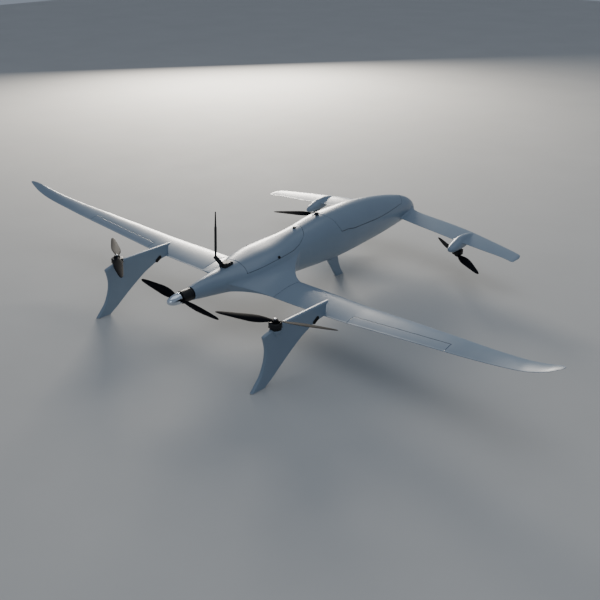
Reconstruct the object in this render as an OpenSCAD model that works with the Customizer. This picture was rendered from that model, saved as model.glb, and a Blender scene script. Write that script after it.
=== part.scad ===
// Fixed wing drone with a canard, a pusher propeller and four lift rotors on its two fins and two pods.
// Millimetres. +X is the right wing, +Y the nose, +Z up. Z 0 is the ground under the three feet.

/* [Wing] */
// half of the wing span
half_span = 1570; // [1200:5:1800]
// where the outer wing panels join the root fairings
root_x = 228; // [180:1:260]
// wing thickness as a share of the chord
wing_tc = 0.125; // [0.09:0.005:0.16]
// gap left at the panel joint
joint_gap = 0.5; // [0.3:0.1:2]

/* [Elevons] */
// inner end of each elevon
elevon_x0 = 633; // [500:1:700]
// outer end of each elevon
elevon_x1 = 1098; // [900:1:1200]
// hinge line ahead of the trailing edge
elevon_chord = 46; // [30:1:70]
// radius of the cove that the elevon turns in
elevon_nose_r = 6.6; // [6:0.1:9]
// radius of the hinge pins
hinge_pin_r = 1.2; // [0.8:0.1:2]

/* [Fuselage] */
// skin thickness
skin = 2.6; // [2:0.1:4]
// clearance around each hatch
hatch_gap = 0.8; // [0.4:0.1:2]
// side edge of the hatches, degrees above the widest line
hatch_edge = 15; // [5:1:40]

/* [Fins] */
// distance of each fin from the centreline
fin_x = 502; // [400:1:600]
// fin thickness
fin_t = 18; // [12:1:26]
// foot pad thickness
pad_t = 4; // [2:0.5:8]

/* [Canard] */
// half span of the canard
canard_half = 796; // [600:1:900]
// distance of each pod from the centreline
pod_x = 467; // [400:1:560]
// pod rotor axis along the body
pod_y = 1343; // [1250:1:1400]

/* [Rotors] */
// lift rotor radius
lift_r = 254; // [200:1:300]
// rear rotor plane
rear_rotor_z = 264; // [240:1:300]
// front rotor plane
front_rotor_z = 122; // [100:1:160]
// lift motor radius
motor_r = 27; // [20:0.5:35]
// pusher propeller radius
push_r = 247; // [200:1:280]
// pusher axis height
push_z = 227; // [200:1:260]
// pusher propeller plane
push_y = -62; // [-80:1:-50]
// running clearance of the shafts
run_gap = 0.05; // [0.02:0.01:0.1]

/* [Antenna] */
// antenna base length
ant_l = 54; // [40:1:80]
// antenna base width
ant_w = 46; // [30:1:60]
// whip height above its pivot
whip_h = 205; // [150:1:320]
// antenna offset from the centreline
ant_x = -8; // [-30:1:30]

/* [Hidden] */
$fn = 48;
y_mid = 729.5;

// ---------- helpers ----------
function lerp(a, b, t) = a + (b - a) * t;
function clampf(v, a, b) = max(a, min(b, v));
function sgn(v) = v < 0 ? -1 : 1;
function mean(p) = [for (k = [0:2]) let (s = [for (q = p) q[k]]) (s * [for (q = p) 1]) / len(p)];
function flipx(p) = [-p[0], p[1], p[2]];
function row(t, y, i = 0) = (i >= len(t) - 2 || y < t[i + 1][0]) ? i : row(t, y, i + 1);
// smooth curve through the rows of a table whose first column is the position
function curve(t, y) = let (i = row(t, y), a = t[max(i - 1, 0)], b = t[i], c = t[i + 1],
    d = t[min(i + 2, len(t) - 1)], h = c[0] - b[0], u = (y - b[0]) / h,
    m1 = (c - a) * (h / (c[0] - a[0])), m2 = (d - b) * (h / (d[0] - b[0])))
    b * (2 * pow(u, 3) - 3 * pow(u, 2) + 1) + m1 * (pow(u, 3) - 2 * pow(u, 2) + u)
    + c * (3 * pow(u, 2) - 2 * pow(u, 3)) + m2 * (pow(u, 3) - pow(u, 2));
// closed skin over a list of rings, each end closed by a fan
module loft(r, flip = false) {
  n = len(r); m = len(r[0]);
  pts = concat([for (a = r) each a], [mean(r[0]), mean(r[n - 1])]);
  f = concat([for (i = [0:n - 2], j = [0:m - 1]) let (k = (j + 1) % m)
      each [[i * m + j, i * m + k, (i + 1) * m + k], [i * m + j, (i + 1) * m + k, (i + 1) * m + j]]],
    [for (j = [0:m - 1]) [(j + 1) % m, j, n * m]],
    [for (j = [0:m - 1]) [(n - 1) * m + j, (n - 1) * m + (j + 1) % m, n * m + 1]]);
  polyhedron(pts, flip ? [for (a = f) [a[2], a[1], a[0]]] : f, convexity = 8);
}
module air() { translate([0, -y_mid, 0]) children(); }
module left() { mirror([1, 0, 0]) children(); }

// ---------- fuselage ----------
// station, centre height, half width, height above, depth below, squareness below and above
body_t = [[0, 227, 28, 28, 28, 2, 2], [60, 228, 37, 40, 38, 2, 2], [120, 229, 50, 47, 46, 2, 2],
  [180, 230, 67, 52, 54, 2, 2], [250, 232, 93, 61, 64, 2.15, 2.15], [330, 234, 112, 72, 76, 2.35, 2.35],
  [400, 235, 116, 81, 84, 2.5, 2.5], [500, 236, 110, 89, 91, 2.4, 2.45],
  [574, 236, 97, 97, 96, 2.15, 2.35], [672, 236, 92, 109, 105, 2.05, 2.35],
  [795, 239, 97, 124, 115, 2, 2.45], [870, 241, 100, 127, 120, 2, 2.4],
  [970, 243, 100, 127, 121, 2, 2.3], [1049, 244, 98, 126, 118, 2, 2.2],
  [1130, 244, 94, 121, 113, 2, 2.1], [1213, 243, 88, 114, 107, 2, 2], [1298, 240, 81, 104, 97, 2, 2],
  [1367, 236, 73, 95, 86, 2, 2], [1440, 230, 63, 84, 72, 2, 2], [1500, 223, 54, 73, 58, 2, 2],
  [1550, 214, 40, 58, 43, 2, 2], [1590, 206, 22, 33, 24, 2, 2], [1604, 202, 3, 4, 4, 2, 2]];
// angle of the hatch side edges along the body
edge_t = [[0, hatch_edge + 10], [560, hatch_edge + 12], [600, hatch_edge + 18], [630, hatch_edge + 28],
  [650, hatch_edge + 36], [700, hatch_edge + 14], [760, hatch_edge + 2], [828, hatch_edge],
  [890, hatch_edge], [960, hatch_edge - 3.5], [1150, hatch_edge - 3], [1213, hatch_edge - 1.5],
  [1290, hatch_edge + 3], [1360, hatch_edge + 10], [1430, hatch_edge + 19], [1490, hatch_edge + 17],
  [1604, hatch_edge + 10]];
// station, shift at the hatch edge, shift on the centreline
rows_t = [[8, 0, 0], [32, 0, 0], [58, 0, 0], [85, 0, 0], [110, 0, 0], [132, 0, 0], [155, 0, 0],
  [206, 0, 0], [264, -6, 4], [300, 0, 0], [350, 0, 0], [400, 0, 0], [450, 0, 0], [505, 0, 0],
  [560, 0, 0], [595, 0, 0], [622, 0, 8], [650, 0, 38], [700, 12, 14], [745, 30, 2], [790, 48, 0],
  [822, 64, 0], [880, 50, 0], [945, 28, 0], [1010, 10, 0], [1075, 0, 0], [1140, 0, 0], [1205, 0, 0],
  [1270, 0, 0], [1330, 0, 4], [1385, 0, 20], [1430, 0, 45], [1475, 0, 25], [1520, 0, 5],
  [1560, 0, 0], [1588, 0, 0], [1600, 0, 0]];
half_n = 14;
ring_n = 28;
i_c0 = 8; i_c1 = 17; i_n0 = 21; i_n1 = 31; j_edge = 8;
i_r0 = 6; i_r1 = 15; j_r0 = 3; j_r1 = 7;
function te(y) = lookup(y, edge_t);
// angle of a half-section column, j 0 at the keel and 14 on the crown
function col(j, y) = let (e = te(y)) j <= 3 ? lerp(-90, -55, j / 3)
    : j <= 7 ? lerp(-55, e - 9, (j - 3) / 4) : j == 8 ? e : lerp(e, 90, (j - 8) / 6);
function skew(i, th) = let (r = rows_t[i], e = te(r[0]))
    th > e ? lerp(r[1], r[2], pow((th - e) / (90 - e), 0.8)) : r[1] * pow((th + 90) / (e + 90), 1.5);
function section(y, th, off) = let (b = curve(body_t, y), c = cos(th), s = sin(th), k = 2 / (s > 0 ? b[6] : b[5]))
    [(b[2] - off) * sgn(c) * pow(abs(c), k), y,
     b[1] + (s > 0 ? b[3] - off : b[4] - off) * sgn(s) * pow(abs(s), k)];
function halfpt(i, j, off, dy = 0, dth = 0) = let (th = clampf(col(j, rows_t[i][0]) + dth, -90, 90))
    section(rows_t[i][0] + skew(i, th) + dy, th, off);
function gridpt(i, j, off) = j <= half_n ? halfpt(i, j, off) : flipx(halfpt(i, ring_n - j, off));
function hatch(i, j) = let (a = (j >= j_edge && j < ring_n - j_edge))
    a && ((i >= i_c0 && i < i_c1) || (i >= i_n0 && i < i_n1));
function inroot(i, j) = (i >= i_r0 && i < i_r1)
    && ((j >= j_r0 && j < j_r1) || (j >= ring_n - j_r1 && j < ring_n - j_r0));
// the loop of body points that the right root fairing grows from, and where it goes
root_loop = concat([for (j = [j_r0:j_r1 - 1]) [i_r0, j]], [for (i = [i_r0:i_r1 - 1]) [i, j_r1]],
    [for (j = [j_r1:-1:j_r0 + 1]) [i_r1, j]], [for (i = [i_r1:-1:i_r0 + 1]) [i, j_r0]]);
root_k = len(root_loop);
root_s = 6;
function leave(k) = let (q = root_loop[k], th = col(q[1], rows_t[q[0]][0]),
    up = q[1] == j_r1 ? 1 : q[1] == j_r0 ? -1 : 0, fw = q[0] == i_r0 ? 1 : q[0] == i_r1 ? -1 : 0,
    a = halfpt(q[0], q[1], 0, 0, -3 * up), b = halfpt(q[0], q[1], 0),
    v = (up == 0 ? [0, 0, 0] : (a - b) / norm(a - b)) + [0, fw, 0]) v / norm(v) * (fw == 0 ? 34 : 46);
function root_pt(k, s) = let (q = root_loop[k], p0 = halfpt(q[0], q[1], 0), d0 = leave(k),
    p3 = wing_loop(k), p1 = p0 + d0, p2 = p3 - [64, 0, 0], t = s / root_s)
    p0 * pow(1 - t, 3) + p1 * (3 * pow(1 - t, 2) * t) + p2 * (3 * (1 - t) * pow(t, 2)) + p3 * pow(t, 3);
// the wing section as a loop matching root_loop: tail edge, upper side, nose, lower side
function wing_loop(k) = k < 4 ? foil_pt(root_x, 0, lerp(-1, 1, k / 4))
    : k < 13 ? foil_pt(root_x, chord_at((k - 4) / 9), 1)
    : k < 17 ? foil_pt(root_x, [0.985, 0.9965, 1, 0.9965][k - 13], [1, 1, 0, -1][k - 13])
    : foil_pt(root_x, chord_at(1 - (k - 17) / 9), -1);
function chord_at(f) = 0.985 * (1 - pow(1 - f, 1.25));

module fuselage_shell() color("lightsteelblue") air() difference() {
  shell_skin();
  for (p = spar_at) translate([-400, p[0], p[1]]) rotate([0, 90, 0]) cylinder(r = p[2] + 0.03, h = 800);
  translate([-150, canard_spar_y, canard_spar_z]) rotate([0, 90, 0]) cylinder(r = 5.03, h = 300);
  for (y = leg_screw_y) translate([0, y, 110]) cylinder(r = 2.7, h = 30);
}
module shell_skin() {
  n = len(rows_t); m = ring_n; g = n * m;
  tip_o = 2 * g; tip_i = 2 * g + 1; fr = 2 * g + 2; fl = fr + root_s * root_k; cr = fl + root_s * root_k;
  right = [for (s = [1:root_s], k = [0:root_k - 1]) root_pt(k, s)];
  pts = concat([for (i = [0:n - 1], j = [0:m - 1]) gridpt(i, j, 0)],
    [for (i = [0:n - 1], j = [0:m - 1]) gridpt(i, j, skin)],
    [[0, 1604, 202], [0, 1600, 202]], right, [for (p = right) flipx(p)],
    [mean([for (k = [0:root_k - 1]) root_pt(k, root_s)]),
     flipx(mean([for (k = [0:root_k - 1]) root_pt(k, root_s)]))]);
  body = [for (i = [0:n - 2], j = [0:m - 1]) let (k = (j + 1) % m, a = i * m + j, b = i * m + k,
      c = (i + 1) * m + k, d = (i + 1) * m + j) if (!hatch(i, j)) each concat(
      inroot(i, j) ? [] : [[a, b, c], [a, c, d]],
      [[g + a, g + c, g + b], [g + a, g + d, g + c]],
      i == 0 || hatch(i - 1, j) ? [[b, a, g + a], [b, g + a, g + b]] : [],
      hatch(i, (j + 1) % m) ? [[c, b, g + b], [c, g + b, g + c]] : [],
      i < n - 2 && hatch(i + 1, j) ? [[d, c, g + c], [d, g + c, g + d]] : [],
      hatch(i, (j + m - 1) % m) ? [[a, d, g + d], [a, g + d, g + a]] : [])];
  tips = [for (j = [0:m - 1]) let (k = (j + 1) % m, a = (n - 1) * m + j, b = (n - 1) * m + k)
      each [[a, b, tip_o], [g + b, g + a, tip_i]]];
  base = [for (q = root_loop) q[0] * m + q[1]];
  basel = [for (q = root_loop) q[0] * m + ring_n - q[1]];
  fair = [for (s = [0:root_s - 1], k = [0:root_k - 1]) let (l = (k + 1) % root_k,
      a = s == 0 ? base[k] : fr + (s - 1) * root_k + k, b = s == 0 ? base[l] : fr + (s - 1) * root_k + l,
      c = fr + s * root_k + l, d = fr + s * root_k + k,
      e = s == 0 ? basel[k] : fl + (s - 1) * root_k + k, h = s == 0 ? basel[l] : fl + (s - 1) * root_k + l,
      o = fl + s * root_k + l, q = fl + s * root_k + k)
      each [[a, b, c], [a, c, d], [h, e, q], [h, q, o]]];
  ends = [for (k = [0:root_k - 1]) let (l = (k + 1) % root_k, a = fr + (root_s - 1) * root_k,
      b = fl + (root_s - 1) * root_k) each [[a + k, a + l, cr], [b + l, b + k, cr + 1]]];
  polyhedron(pts, concat(body, tips, fair, ends), convexity = 12);
}
// a hatch cover: the piece of skin left out of the shell, drawn in by the gap on all four sides
module cover(i0, i1) {
  ni = i1 - i0; nj = ring_n - 2 * j_edge; w = nj + 1; g = (ni + 1) * w;
  function cp(i, j, off) = let (dy = i == 0 ? hatch_gap : i == ni ? -hatch_gap : 0,
      jj = j + j_edge, h = jj <= half_n ? jj : ring_n - jj, dth = h == j_edge ? 0.55 * hatch_gap : 0,
      p = halfpt(i + i0, h, off, dy, dth)) jj <= half_n ? p : flipx(p);
  pts = concat([for (i = [0:ni], j = [0:nj]) cp(i, j, 0)], [for (i = [0:ni], j = [0:nj]) cp(i, j, skin)]);
  f = concat([for (i = [0:ni - 1], j = [0:nj - 1]) let (a = i * w + j, b = a + 1, c = a + w + 1, d = a + w)
      each concat([[a, b, c], [a, c, d], [g + a, g + c, g + b], [g + a, g + d, g + c]],
        i == 0 ? [[b, a, g + a], [b, g + a, g + b]] : [], j == nj - 1 ? [[c, b, g + b], [c, g + b, g + c]] : [],
        i == ni - 1 ? [[d, c, g + c], [d, g + c, g + d]] : [], j == 0 ? [[a, d, g + d], [a, g + d, g + a]] : [])]);
  polyhedron(pts, f, convexity = 8);
}
module nose_hatch() color("lightsteelblue") air() cover(i_n0, i_n1);
module centre_hatch() color("lightsteelblue") air() difference() {
  cover(i_c0, i_c1);
  for (s = [1, -1]) side_latch_at(s) translate([0, 0, -8]) cylinder(r = 3 + run_gap, h = 16);
  knob_at() translate([0, 0, -8]) cylinder(r = 3 + run_gap, h = 16);
}
// the small turn fasteners sit square to the skin
latch_y = 442; latch_th = 31; latch_tilt = 53;
module side_latch_at(s) translate([s * section(latch_y, latch_th, 0)[0], latch_y,
    section(latch_y, latch_th, 0)[2]]) rotate([0, s * latch_tilt, 0]) children();
module knob_at() translate([0, 652, section(652, 90, 0)[2]]) rotate([7, 0, 0]) children();
module turn_fastener(r) {
  translate([0, 0, 0.9]) cylinder(r = r, h = 3);
  translate([-r * 0.85, -1.5, 3.8]) cube([r * 1.7, 3, 3.4]);
  translate([0, 0, -6]) cylinder(r = 3, h = 7);
}
module hatch_latch_r() color("dimgray") air() side_latch_at(1) turn_fastener(7);
module hatch_latch_l() color("dimgray") air() side_latch_at(-1) turn_fastener(7);
module hatch_knob() color("black") air() knob_at() turn_fastener(8.5);
pin_z = section(800, 90, 0)[2] + 8.5;
block_z = section(819, 90, 0)[2] + 0.15;
module latch_block() color("black") air() difference() {
  translate([-8, 801, block_z]) cube([16, 18, pin_z + 7 - block_z]);
  translate([0, 790, pin_z]) rotate([-90, 0, 0]) cylinder(r = 2.5 + run_gap, h = 40);
}
module pull_pin() color("silver") air() {
  translate([0, 795, pin_z]) rotate([-90, 0, 0]) cylinder(r = 2.5, h = 25);
  translate([0, 784, pin_z + 5]) rotate([0, 90, 20]) rotate_extrude() translate([9.5, 0]) circle(r = 1.8, $fn = 24);
  translate([0, 795.5, pin_z]) sphere(r = 4);
}

// ---------- wing ----------
// station, leading edge, trailing edge, trailing edge height, thickness share, rise of the nose
wing_t = [[200, 450, 269, 185, wing_tc, 9], [350, 447, 269, 187, wing_tc, 9], [500, 440, 269, 190, wing_tc, 9],
  [620, 431, 269, 194.5, 0.122, 9], [700, 424, 268, 201.2, 0.12, 8], [900, 403, 266, 217.9, 0.12, 8],
  [1000, 393, 264.5, 226.3, 0.12, 7], [1110, 381, 263, 235.5, 0.118, 7], [1200, 370, 262, 243.5, 0.116, 6],
  [1300, 353, 257, 257, 0.115, 5], [1400, 326, 242, 279, 0.11, 4], [1460, 306, 231, 299, 0.105, 3],
  [1510, 286, 226, 320, 0.1, 2], [1545, 266, 225, 340, 0.1, 1], [1564, 247, 226, 352, 0.1, 0],
  [1571, 236, 229, 356, 0.1, 0]];
// half thickness of the section at a share f of the chord ahead of the trailing edge
function foil_t(f) = let (q = 1 - f) 5 * (0.2969 * sqrt(q) - 0.126 * q - 0.3516 * pow(q, 2)
    + 0.2843 * pow(q, 3) - 0.1 * pow(q, 4));
function foil_pt(x, f, side) = let (w = curve(wing_t, x), c = w[1] - w[2], q = 1 - f,
    camber = 0.1 * c * f * q * 0.9, t = c * w[4] * foil_t(f))
    [x, w[2] + c * f, w[3] + 1.2 + w[5] * f + camber + side * max(t, 1.1) * (side < 0 ? 0.85 : 1)];
foil_n = 13;
function foil_f(i) = let (u = i / foil_n) 0.5 - 0.5 * cos(180 * pow(u, 0.85));
function foil_ring(x) = concat([for (i = [0:foil_n]) foil_pt(x, foil_f(i) * 0.999, 1)],
    [for (i = [foil_n:-1:0]) foil_pt(x, foil_f(i) * 0.999, -1)]);
wing_x = [root_x + joint_gap, 360, 500, 620, 730, 870, 1000, 1110, 1200, 1290, 1350, 1400, 1440, 1480, 1510,
  1535, 1553, 1564, half_span];
module wing_solid() loft([for (x = wing_x) foil_ring(x)]);
// the hinge line is straight: ends measured on the section at both ends of the elevon
function hinge_at(x) = let (a = curve(wing_t, elevon_x0), b = curve(wing_t, elevon_x1),
    t = (x - elevon_x0) / (elevon_x1 - elevon_x0), fa = elevon_chord / (a[1] - a[2]), fb = elevon_chord / (b[1] - b[2]),
    pa = (foil_pt(elevon_x0, fa, 1) + foil_pt(elevon_x0, fa, -1)) / 2,
    pb = (foil_pt(elevon_x1, fb, 1) + foil_pt(elevon_x1, fb, -1)) / 2) lerp(pa, pb, t);
module along_hinge(x0, x1, r) let (p = hinge_at(x0), d = hinge_at(x1) - p, l = norm(d))
  translate(p) rotate([0, acos(d[2] / l), atan2(d[1], d[0])]) cylinder(r = r, h = l);
// prism behind the hinge line, from x0 to x1, with its front face ahead of the line by a
module behind_hinge(x0, x1, a) let (p = hinge_at(x0), q = hinge_at(x1))
  translate([0, 0, 100]) linear_extrude(height = 250)
    polygon([[x0, 200], [x1, 200], [x1, q[1] + a], [x0, p[1] + a]]);
spar_at = [[374, 198.3, 7, 400], [306, 191.8, 2.2, 330]];
module spar_cut() for (p = spar_at) translate([0, p[0], p[1]]) rotate([0, 90, 0])
  cylinder(r = p[2] + 0.03, h = p[3] + 1);
module wing_half() difference() {
  wing_solid();
  behind_hinge(elevon_x0, elevon_x1, -0.8);
  along_hinge(elevon_x0 + 0.6, elevon_x1 - 0.6, elevon_nose_r);
  along_hinge(elevon_x0 - 22, elevon_x1 + 22, hinge_pin_r + 0.02);
  translate([elevon_x0 - 62, 312, 150]) cube([38, 26, 52.6]);
  translate([fin_x - fin_t / 2 - 0.2, 200, 100]) cube([fin_t + 0.4, 94, 200]);
  spar_cut();
}
// the elevon has the wing's skins behind the hinge and a round nose ahead of it
function elevon_ring(x) = let (w = curve(wing_t, x), p = hinge_at(x), fh = (p[1] - w[2]) / (w[1] - w[2]),
    u = foil_pt(x, fh, 1), l = foil_pt(x, fh, -1), c = (u + l) / 2, r = (u[2] - l[2]) / 2)
    concat([for (i = [0:6]) foil_pt(x, fh * (0.002 + 0.998 * i / 6), 1)],
      [for (a = [60, 30, 0, -30, -60]) [x, c[1] + r * cos(a), c[2] + r * sin(a)]],
      [for (i = [6:-1:0]) foil_pt(x, fh * (0.002 + 0.998 * i / 6), -1)]);
module elevon_half() difference() {
  loft([for (x = [elevon_x0 + 1.2, 680, 730, 800, 870, 935, 1000, 1055, elevon_x1 - 1.2]) elevon_ring(x)]);
  along_hinge(elevon_x0 - 30, elevon_x1 + 30, hinge_pin_r + run_gap);
}
module wing_r() color("lightsteelblue") air() wing_half();
module wing_l() color("lightsteelblue") air() left() wing_half();
module elevon_r() color("lightsteelblue") air() elevon_half();
module elevon_l() color("lightsteelblue") air() left() elevon_half();
module elevon_pin_r() color("silver") air() along_hinge(elevon_x0 - 20, elevon_x1 + 20, hinge_pin_r);
module elevon_pin_l() color("silver") air() left() along_hinge(elevon_x0 - 20, elevon_x1 + 20, hinge_pin_r);
module servo() translate([elevon_x0 - 61.5, 312.4, 194.7]) cube([37, 25.2, 7.6]);
module elevon_servo_r() color("darkslategray") air() servo();
module elevon_servo_l() color("darkslategray") air() left() servo();
module wing_spars() color("black") air() for (p = spar_at) translate([-p[3], p[0], p[1]]) rotate([0, 90, 0])
  difference() { cylinder(r = p[2], h = 2 * p[3]); translate([0, 0, -1]) cylinder(r = p[2] * 0.8, h = 2 * p[3] + 2); }

// ---------- canard and pods ----------
// station, leading edge, trailing edge, height, thickness share
can_t = [[30, 1567, 1418, 205, 0.12], [100, 1545, 1404, 203, 0.12], [170, 1535, 1391, 201, 0.12],
  [300, 1520, 1371, 197.5, 0.118], [440, 1497, 1349, 193, 0.115], [600, 1452, 1328, 189, 0.11],
  [714, 1417, 1316, 186, 0.105], [765, 1399, 1305, 184.5, 0.1], [785, 1385, 1299, 184, 0.1],
  [796, 1360, 1303, 184, 0.1]];
function can_pt(x, f, side, g = 0) = let (w = curve(can_t, x), c = w[1] - w[2], t = c * w[4] * foil_t(f))
    [x, w[2] + c * f + g * (2 * f - 1), w[3] + 0.07 * c * f * (1 - f) + 2 * f + side * (max(t, 0.9) + g)];
// the inner end follows the side of the nose
function side_x(y, z) = let (b = curve(body_t, y), up = z > b[1], h = up ? b[3] : b[4], n = up ? b[6] : b[5])
    b[2] * pow(max(0.02, 1 - pow(min(1, abs(z - b[1]) / h), n)), 1 / n);
function can_ring(x) = let (r = concat([for (i = [0:foil_n]) can_pt(x, foil_f(i) * 0.999, 1)],
    [for (i = [foil_n:-1:0]) can_pt(x, foil_f(i) * 0.999, -1)]))
    r;
// rings over the inner end, k from its middle to its rim, all the same distance off the nose
function can_end(k) = [for (p = can_ring(70)) let (y = lerp(1478, p[1], k), z = lerp(206.5, p[2], k))
    [side_x(y, z) + 1.8, y, z]];
module canard_solid() loft(concat([for (k = [0.03, 0.35, 0.7, 1]) can_end(k)], [for (x = [105, 170, 235, 300, 370, pod_x - 30, pod_x + 30, 550, 600, 660, 714, 745, 765, 780, 790,
    canard_half]) can_ring(x)]));
canard_spar_y = 1478; canard_spar_z = 206;
module canard_half_solid() difference() {
  canard_solid();
  translate([0, canard_spar_y, canard_spar_z]) rotate([0, 90, 0]) cylinder(r = 5.03, h = 201);
}
module canard_r() color("lightsteelblue") air() canard_half_solid();
module canard_l() color("lightsteelblue") air() left() canard_half_solid();
module canard_spar() color("black") air() translate([-200, canard_spar_y, canard_spar_z]) rotate([0, 90, 0])
  difference() { cylinder(r = 5, h = 400); translate([0, 0, -1]) cylinder(r = 3.8, h = 402); }
// station, underside, top, half width
pod_t = [[1262.5, 163, 171, 4], [1268, 158.5, 177, 12], [1280, 154.5, 184.5, 19], [1300, 152.2, 193.5, 24],
  [1330, 151.7, 204.5, 27], [1355, 151.7, 212, 27.5], [1385, 154, 215, 26], [1412, 161, 213.5, 22.5],
  [1440, 173, 209.5, 16], [1458, 184, 205.5, 8.5], [1463, 189, 203, 4]];
module pod_solid() loft([for (y = [1262.5, 1265, 1268, 1273, 1280, 1290, 1300, 1315, 1330, 1345, 1360, 1378, 1395,
    1412, 1428, 1440, 1450, 1458, 1463]) let (w = curve(pod_t, y), h = (w[2] - w[1]) / 2)
    [for (k = [0:21]) let (a = 360 * k / 22) [pod_x + w[3] * sgn(cos(a)) * pow(abs(cos(a)), 0.85), y,
      (w[1] + w[2]) / 2 + h * sgn(sin(a)) * pow(abs(sin(a)), 0.9)]]]);
// the slot that the canard passes through
module pod_slot() loft([for (x = [pod_x - 30, pod_x + 30])
    concat([for (f = [0.001, 0.06, 0.18, 0.36, 0.55, 0.74, 0.88, 0.96, 0.999]) can_pt(x, f, 1, 0.4)],
      [for (f = [0.999, 0.96, 0.88, 0.74, 0.55, 0.36, 0.18, 0.06, 0.001]) can_pt(x, f, -1, 0.4)])]);
module pod_half() difference() {
  pod_solid();
  pod_slot();
  translate([pod_x, pod_y, 100]) cylinder(r = motor_r + 1.2, h = 51.3);
}
module pod_r() color("lightsteelblue") air() pod_half();
module pod_l() color("lightsteelblue") air() left() pod_half();

// ---------- fins and legs ----------
// height, rear edge, front edge
fin_tab = [[4, -144, -67], [30, -120, -25], [58, -95, 13], [100, -74, 74], [125, -66.5, 113], [144, -63.5, 145],
  [158, -62.5, 176], [175, -63.5, 219], [184, -65, 262], [188, -66, 289], [200, -68, 292], [219, -72, 293.5], [224, -60, 294.5],
  [232, -30, 297], [239, 0, 304], [243.5, 30, 312], [245, 46, 315]];
// a rounded slab section between two edges
function slab(z, r, f, t) = let (m = (r + f) / 2, h = (f - r) / 2, n = 20)
    [for (k = [0:n - 1]) let (a = 360 * k / n) [t / 2 * sgn(cos(a)) * pow(abs(cos(a)), 0.55),
      m + h * sgn(sin(a)) * (1 - (1 - pow(abs(sin(a)), 0.8)) * min(1, 16 / h)), z]];
module fin_half() difference() {
  translate([fin_x, 0, 0]) union() {
    loft([for (z = [4, 18, 30, 44, 58, 80, 100, 113, 125, 135, 144, 151, 158, 166, 175, 180, 184, 188, 200, 210, 219,
        224, 232, 239, 243.5, 245]) let (w = curve(fin_tab, z)) slab(z, w[1], w[2], z > 240 ? fin_t - (z - 240) : fin_t)], true);
    translate([0, 0, 196]) cylinder(r1 = fin_t / 2 - 0.5, r2 = 25, h = 33);
  }
  translate([fin_x, 0, 229]) cylinder(r = motor_r + 2.4, h = 60);
}
module fin_r() color("lightsteelblue") air() fin_half();
module fin_l() color("lightsteelblue") air() left() fin_half();
module pad_half() translate([fin_x, 0, 0]) loft([for (z = [0, 1, pad_t - 0.1])
    slab(z, z < 1 ? -144.5 : -145, z < 1 ? -68.5 : -68, z < 1 ? fin_t : fin_t + 1)], true);
module foot_pad_r() color("gray") air() pad_half();
module foot_pad_l() color("gray") air() left() pad_half();
// height, rear edge, front edge of the front leg
leg_tab = [[4, 953, 1009], [30, 937, 992], [60, 919, 979], [90, 900, 970], [120.5, 880, 964]];
leg_screw_y = [905, 942];
module front_leg() color("lightsteelblue") air() difference() {
  loft([for (z = [4, 17, 30, 45, 60, 75, 90, 105, 120.5]) let (w = curve(leg_tab, z)) slab(z, w[1], w[2], 18)], true);
  for (y = leg_screw_y) translate([0, y, 104]) cylinder(r = 2.5, h = 30);
}
module foot_pad_front() color("gray") air() loft([for (z = [0, 1, pad_t - 0.1])
    slab(z, z < 1 ? 953.5 : 953, z < 1 ? 1009.5 : 1010, z < 1 ? 18 : 19)], true);
// oval cooling inlets on the inner and outer faces of each fin, just under the wing
module fin_vents() color("black") air() for (s = [1, -1], d = [1, -1])
  translate([s * fin_x + d * (fin_t / 2 + 0.1), 226, 186]) rotate([33, 0, 0]) rotate([0, 90 * d, 0])
    linear_extrude(height = 2.2) difference() {
      vent_ring(9, 14);
      for (k = [-3:3]) translate([-6, k * 5.2 - 0.9]) square([12, 1.8]);
    }
module vent_ring(r, l) union() {
  translate([-r, -(l / 2 + 4)]) square([2 * r, l + 8]);
  for (e = [1, -1]) translate([0, e * (l / 2 + 4)]) circle(r = r, $fn = 32);
}

// ---------- rotors ----------
// one blade along +X: radius, chord, pitch, section thickness
lift_b = [[14, 15, 24, 6], [30, 22, 22, 5.6], [52, 34, 19, 4.8], [82, 43, 16, 4.2], [112, 43, 13.5, 3.5],
  [150, 37, 11.5, 2.9], [190, 29, 10, 2.3], [225, 21, 9, 1.8], [246, 13, 8, 1.4], [lift_r, 6, 8, 1.1]];
push_b = [[16, 16, 30, 7], [34, 26, 28, 6.4], [60, 37, 24, 5.4], [95, 41, 19, 4.4], [140, 35, 14, 3.4],
  [190, 26, 11, 2.5], [225, 18, 9.5, 1.9], [240, 12, 9, 1.5], [push_r, 5, 9, 1.1]];
function blade_ring(b, r, back) = let (w = curve(b, r), c = w[1], t = w[3], p = w[2])
    [for (k = [0:11]) let (a = 30 * k, u = c / 2 * cos(a) + back * c, v = t / 2 * sin(a) * (1 - 0.35 * cos(a)))
      [r, u * cos(p) - v * sin(p), u * sin(p) + v * cos(p)]];
module blade(b, rs) loft([for (r = rs) blade_ring(b, r, -0.08)], true);
lift_rs = [9, 16, 30, 42, 54, 68, 85, 105, 130, 160, 190, 215, 235, 247, lift_r];
push_rs = [10, 18, 34, 47, 60, 76, 95, 118, 145, 175, 205, 225, 238, push_r];
module lift_prop() difference() {
  union() {
    for (a = [0, 180]) rotate([0, 0, a]) blade(lift_b, lift_rs);
    translate([0, 0, -5]) cylinder(r = 13, h = 10);
  }
  translate([0, 0, -10]) cylinder(r = 3.02, h = 20);
}
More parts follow.
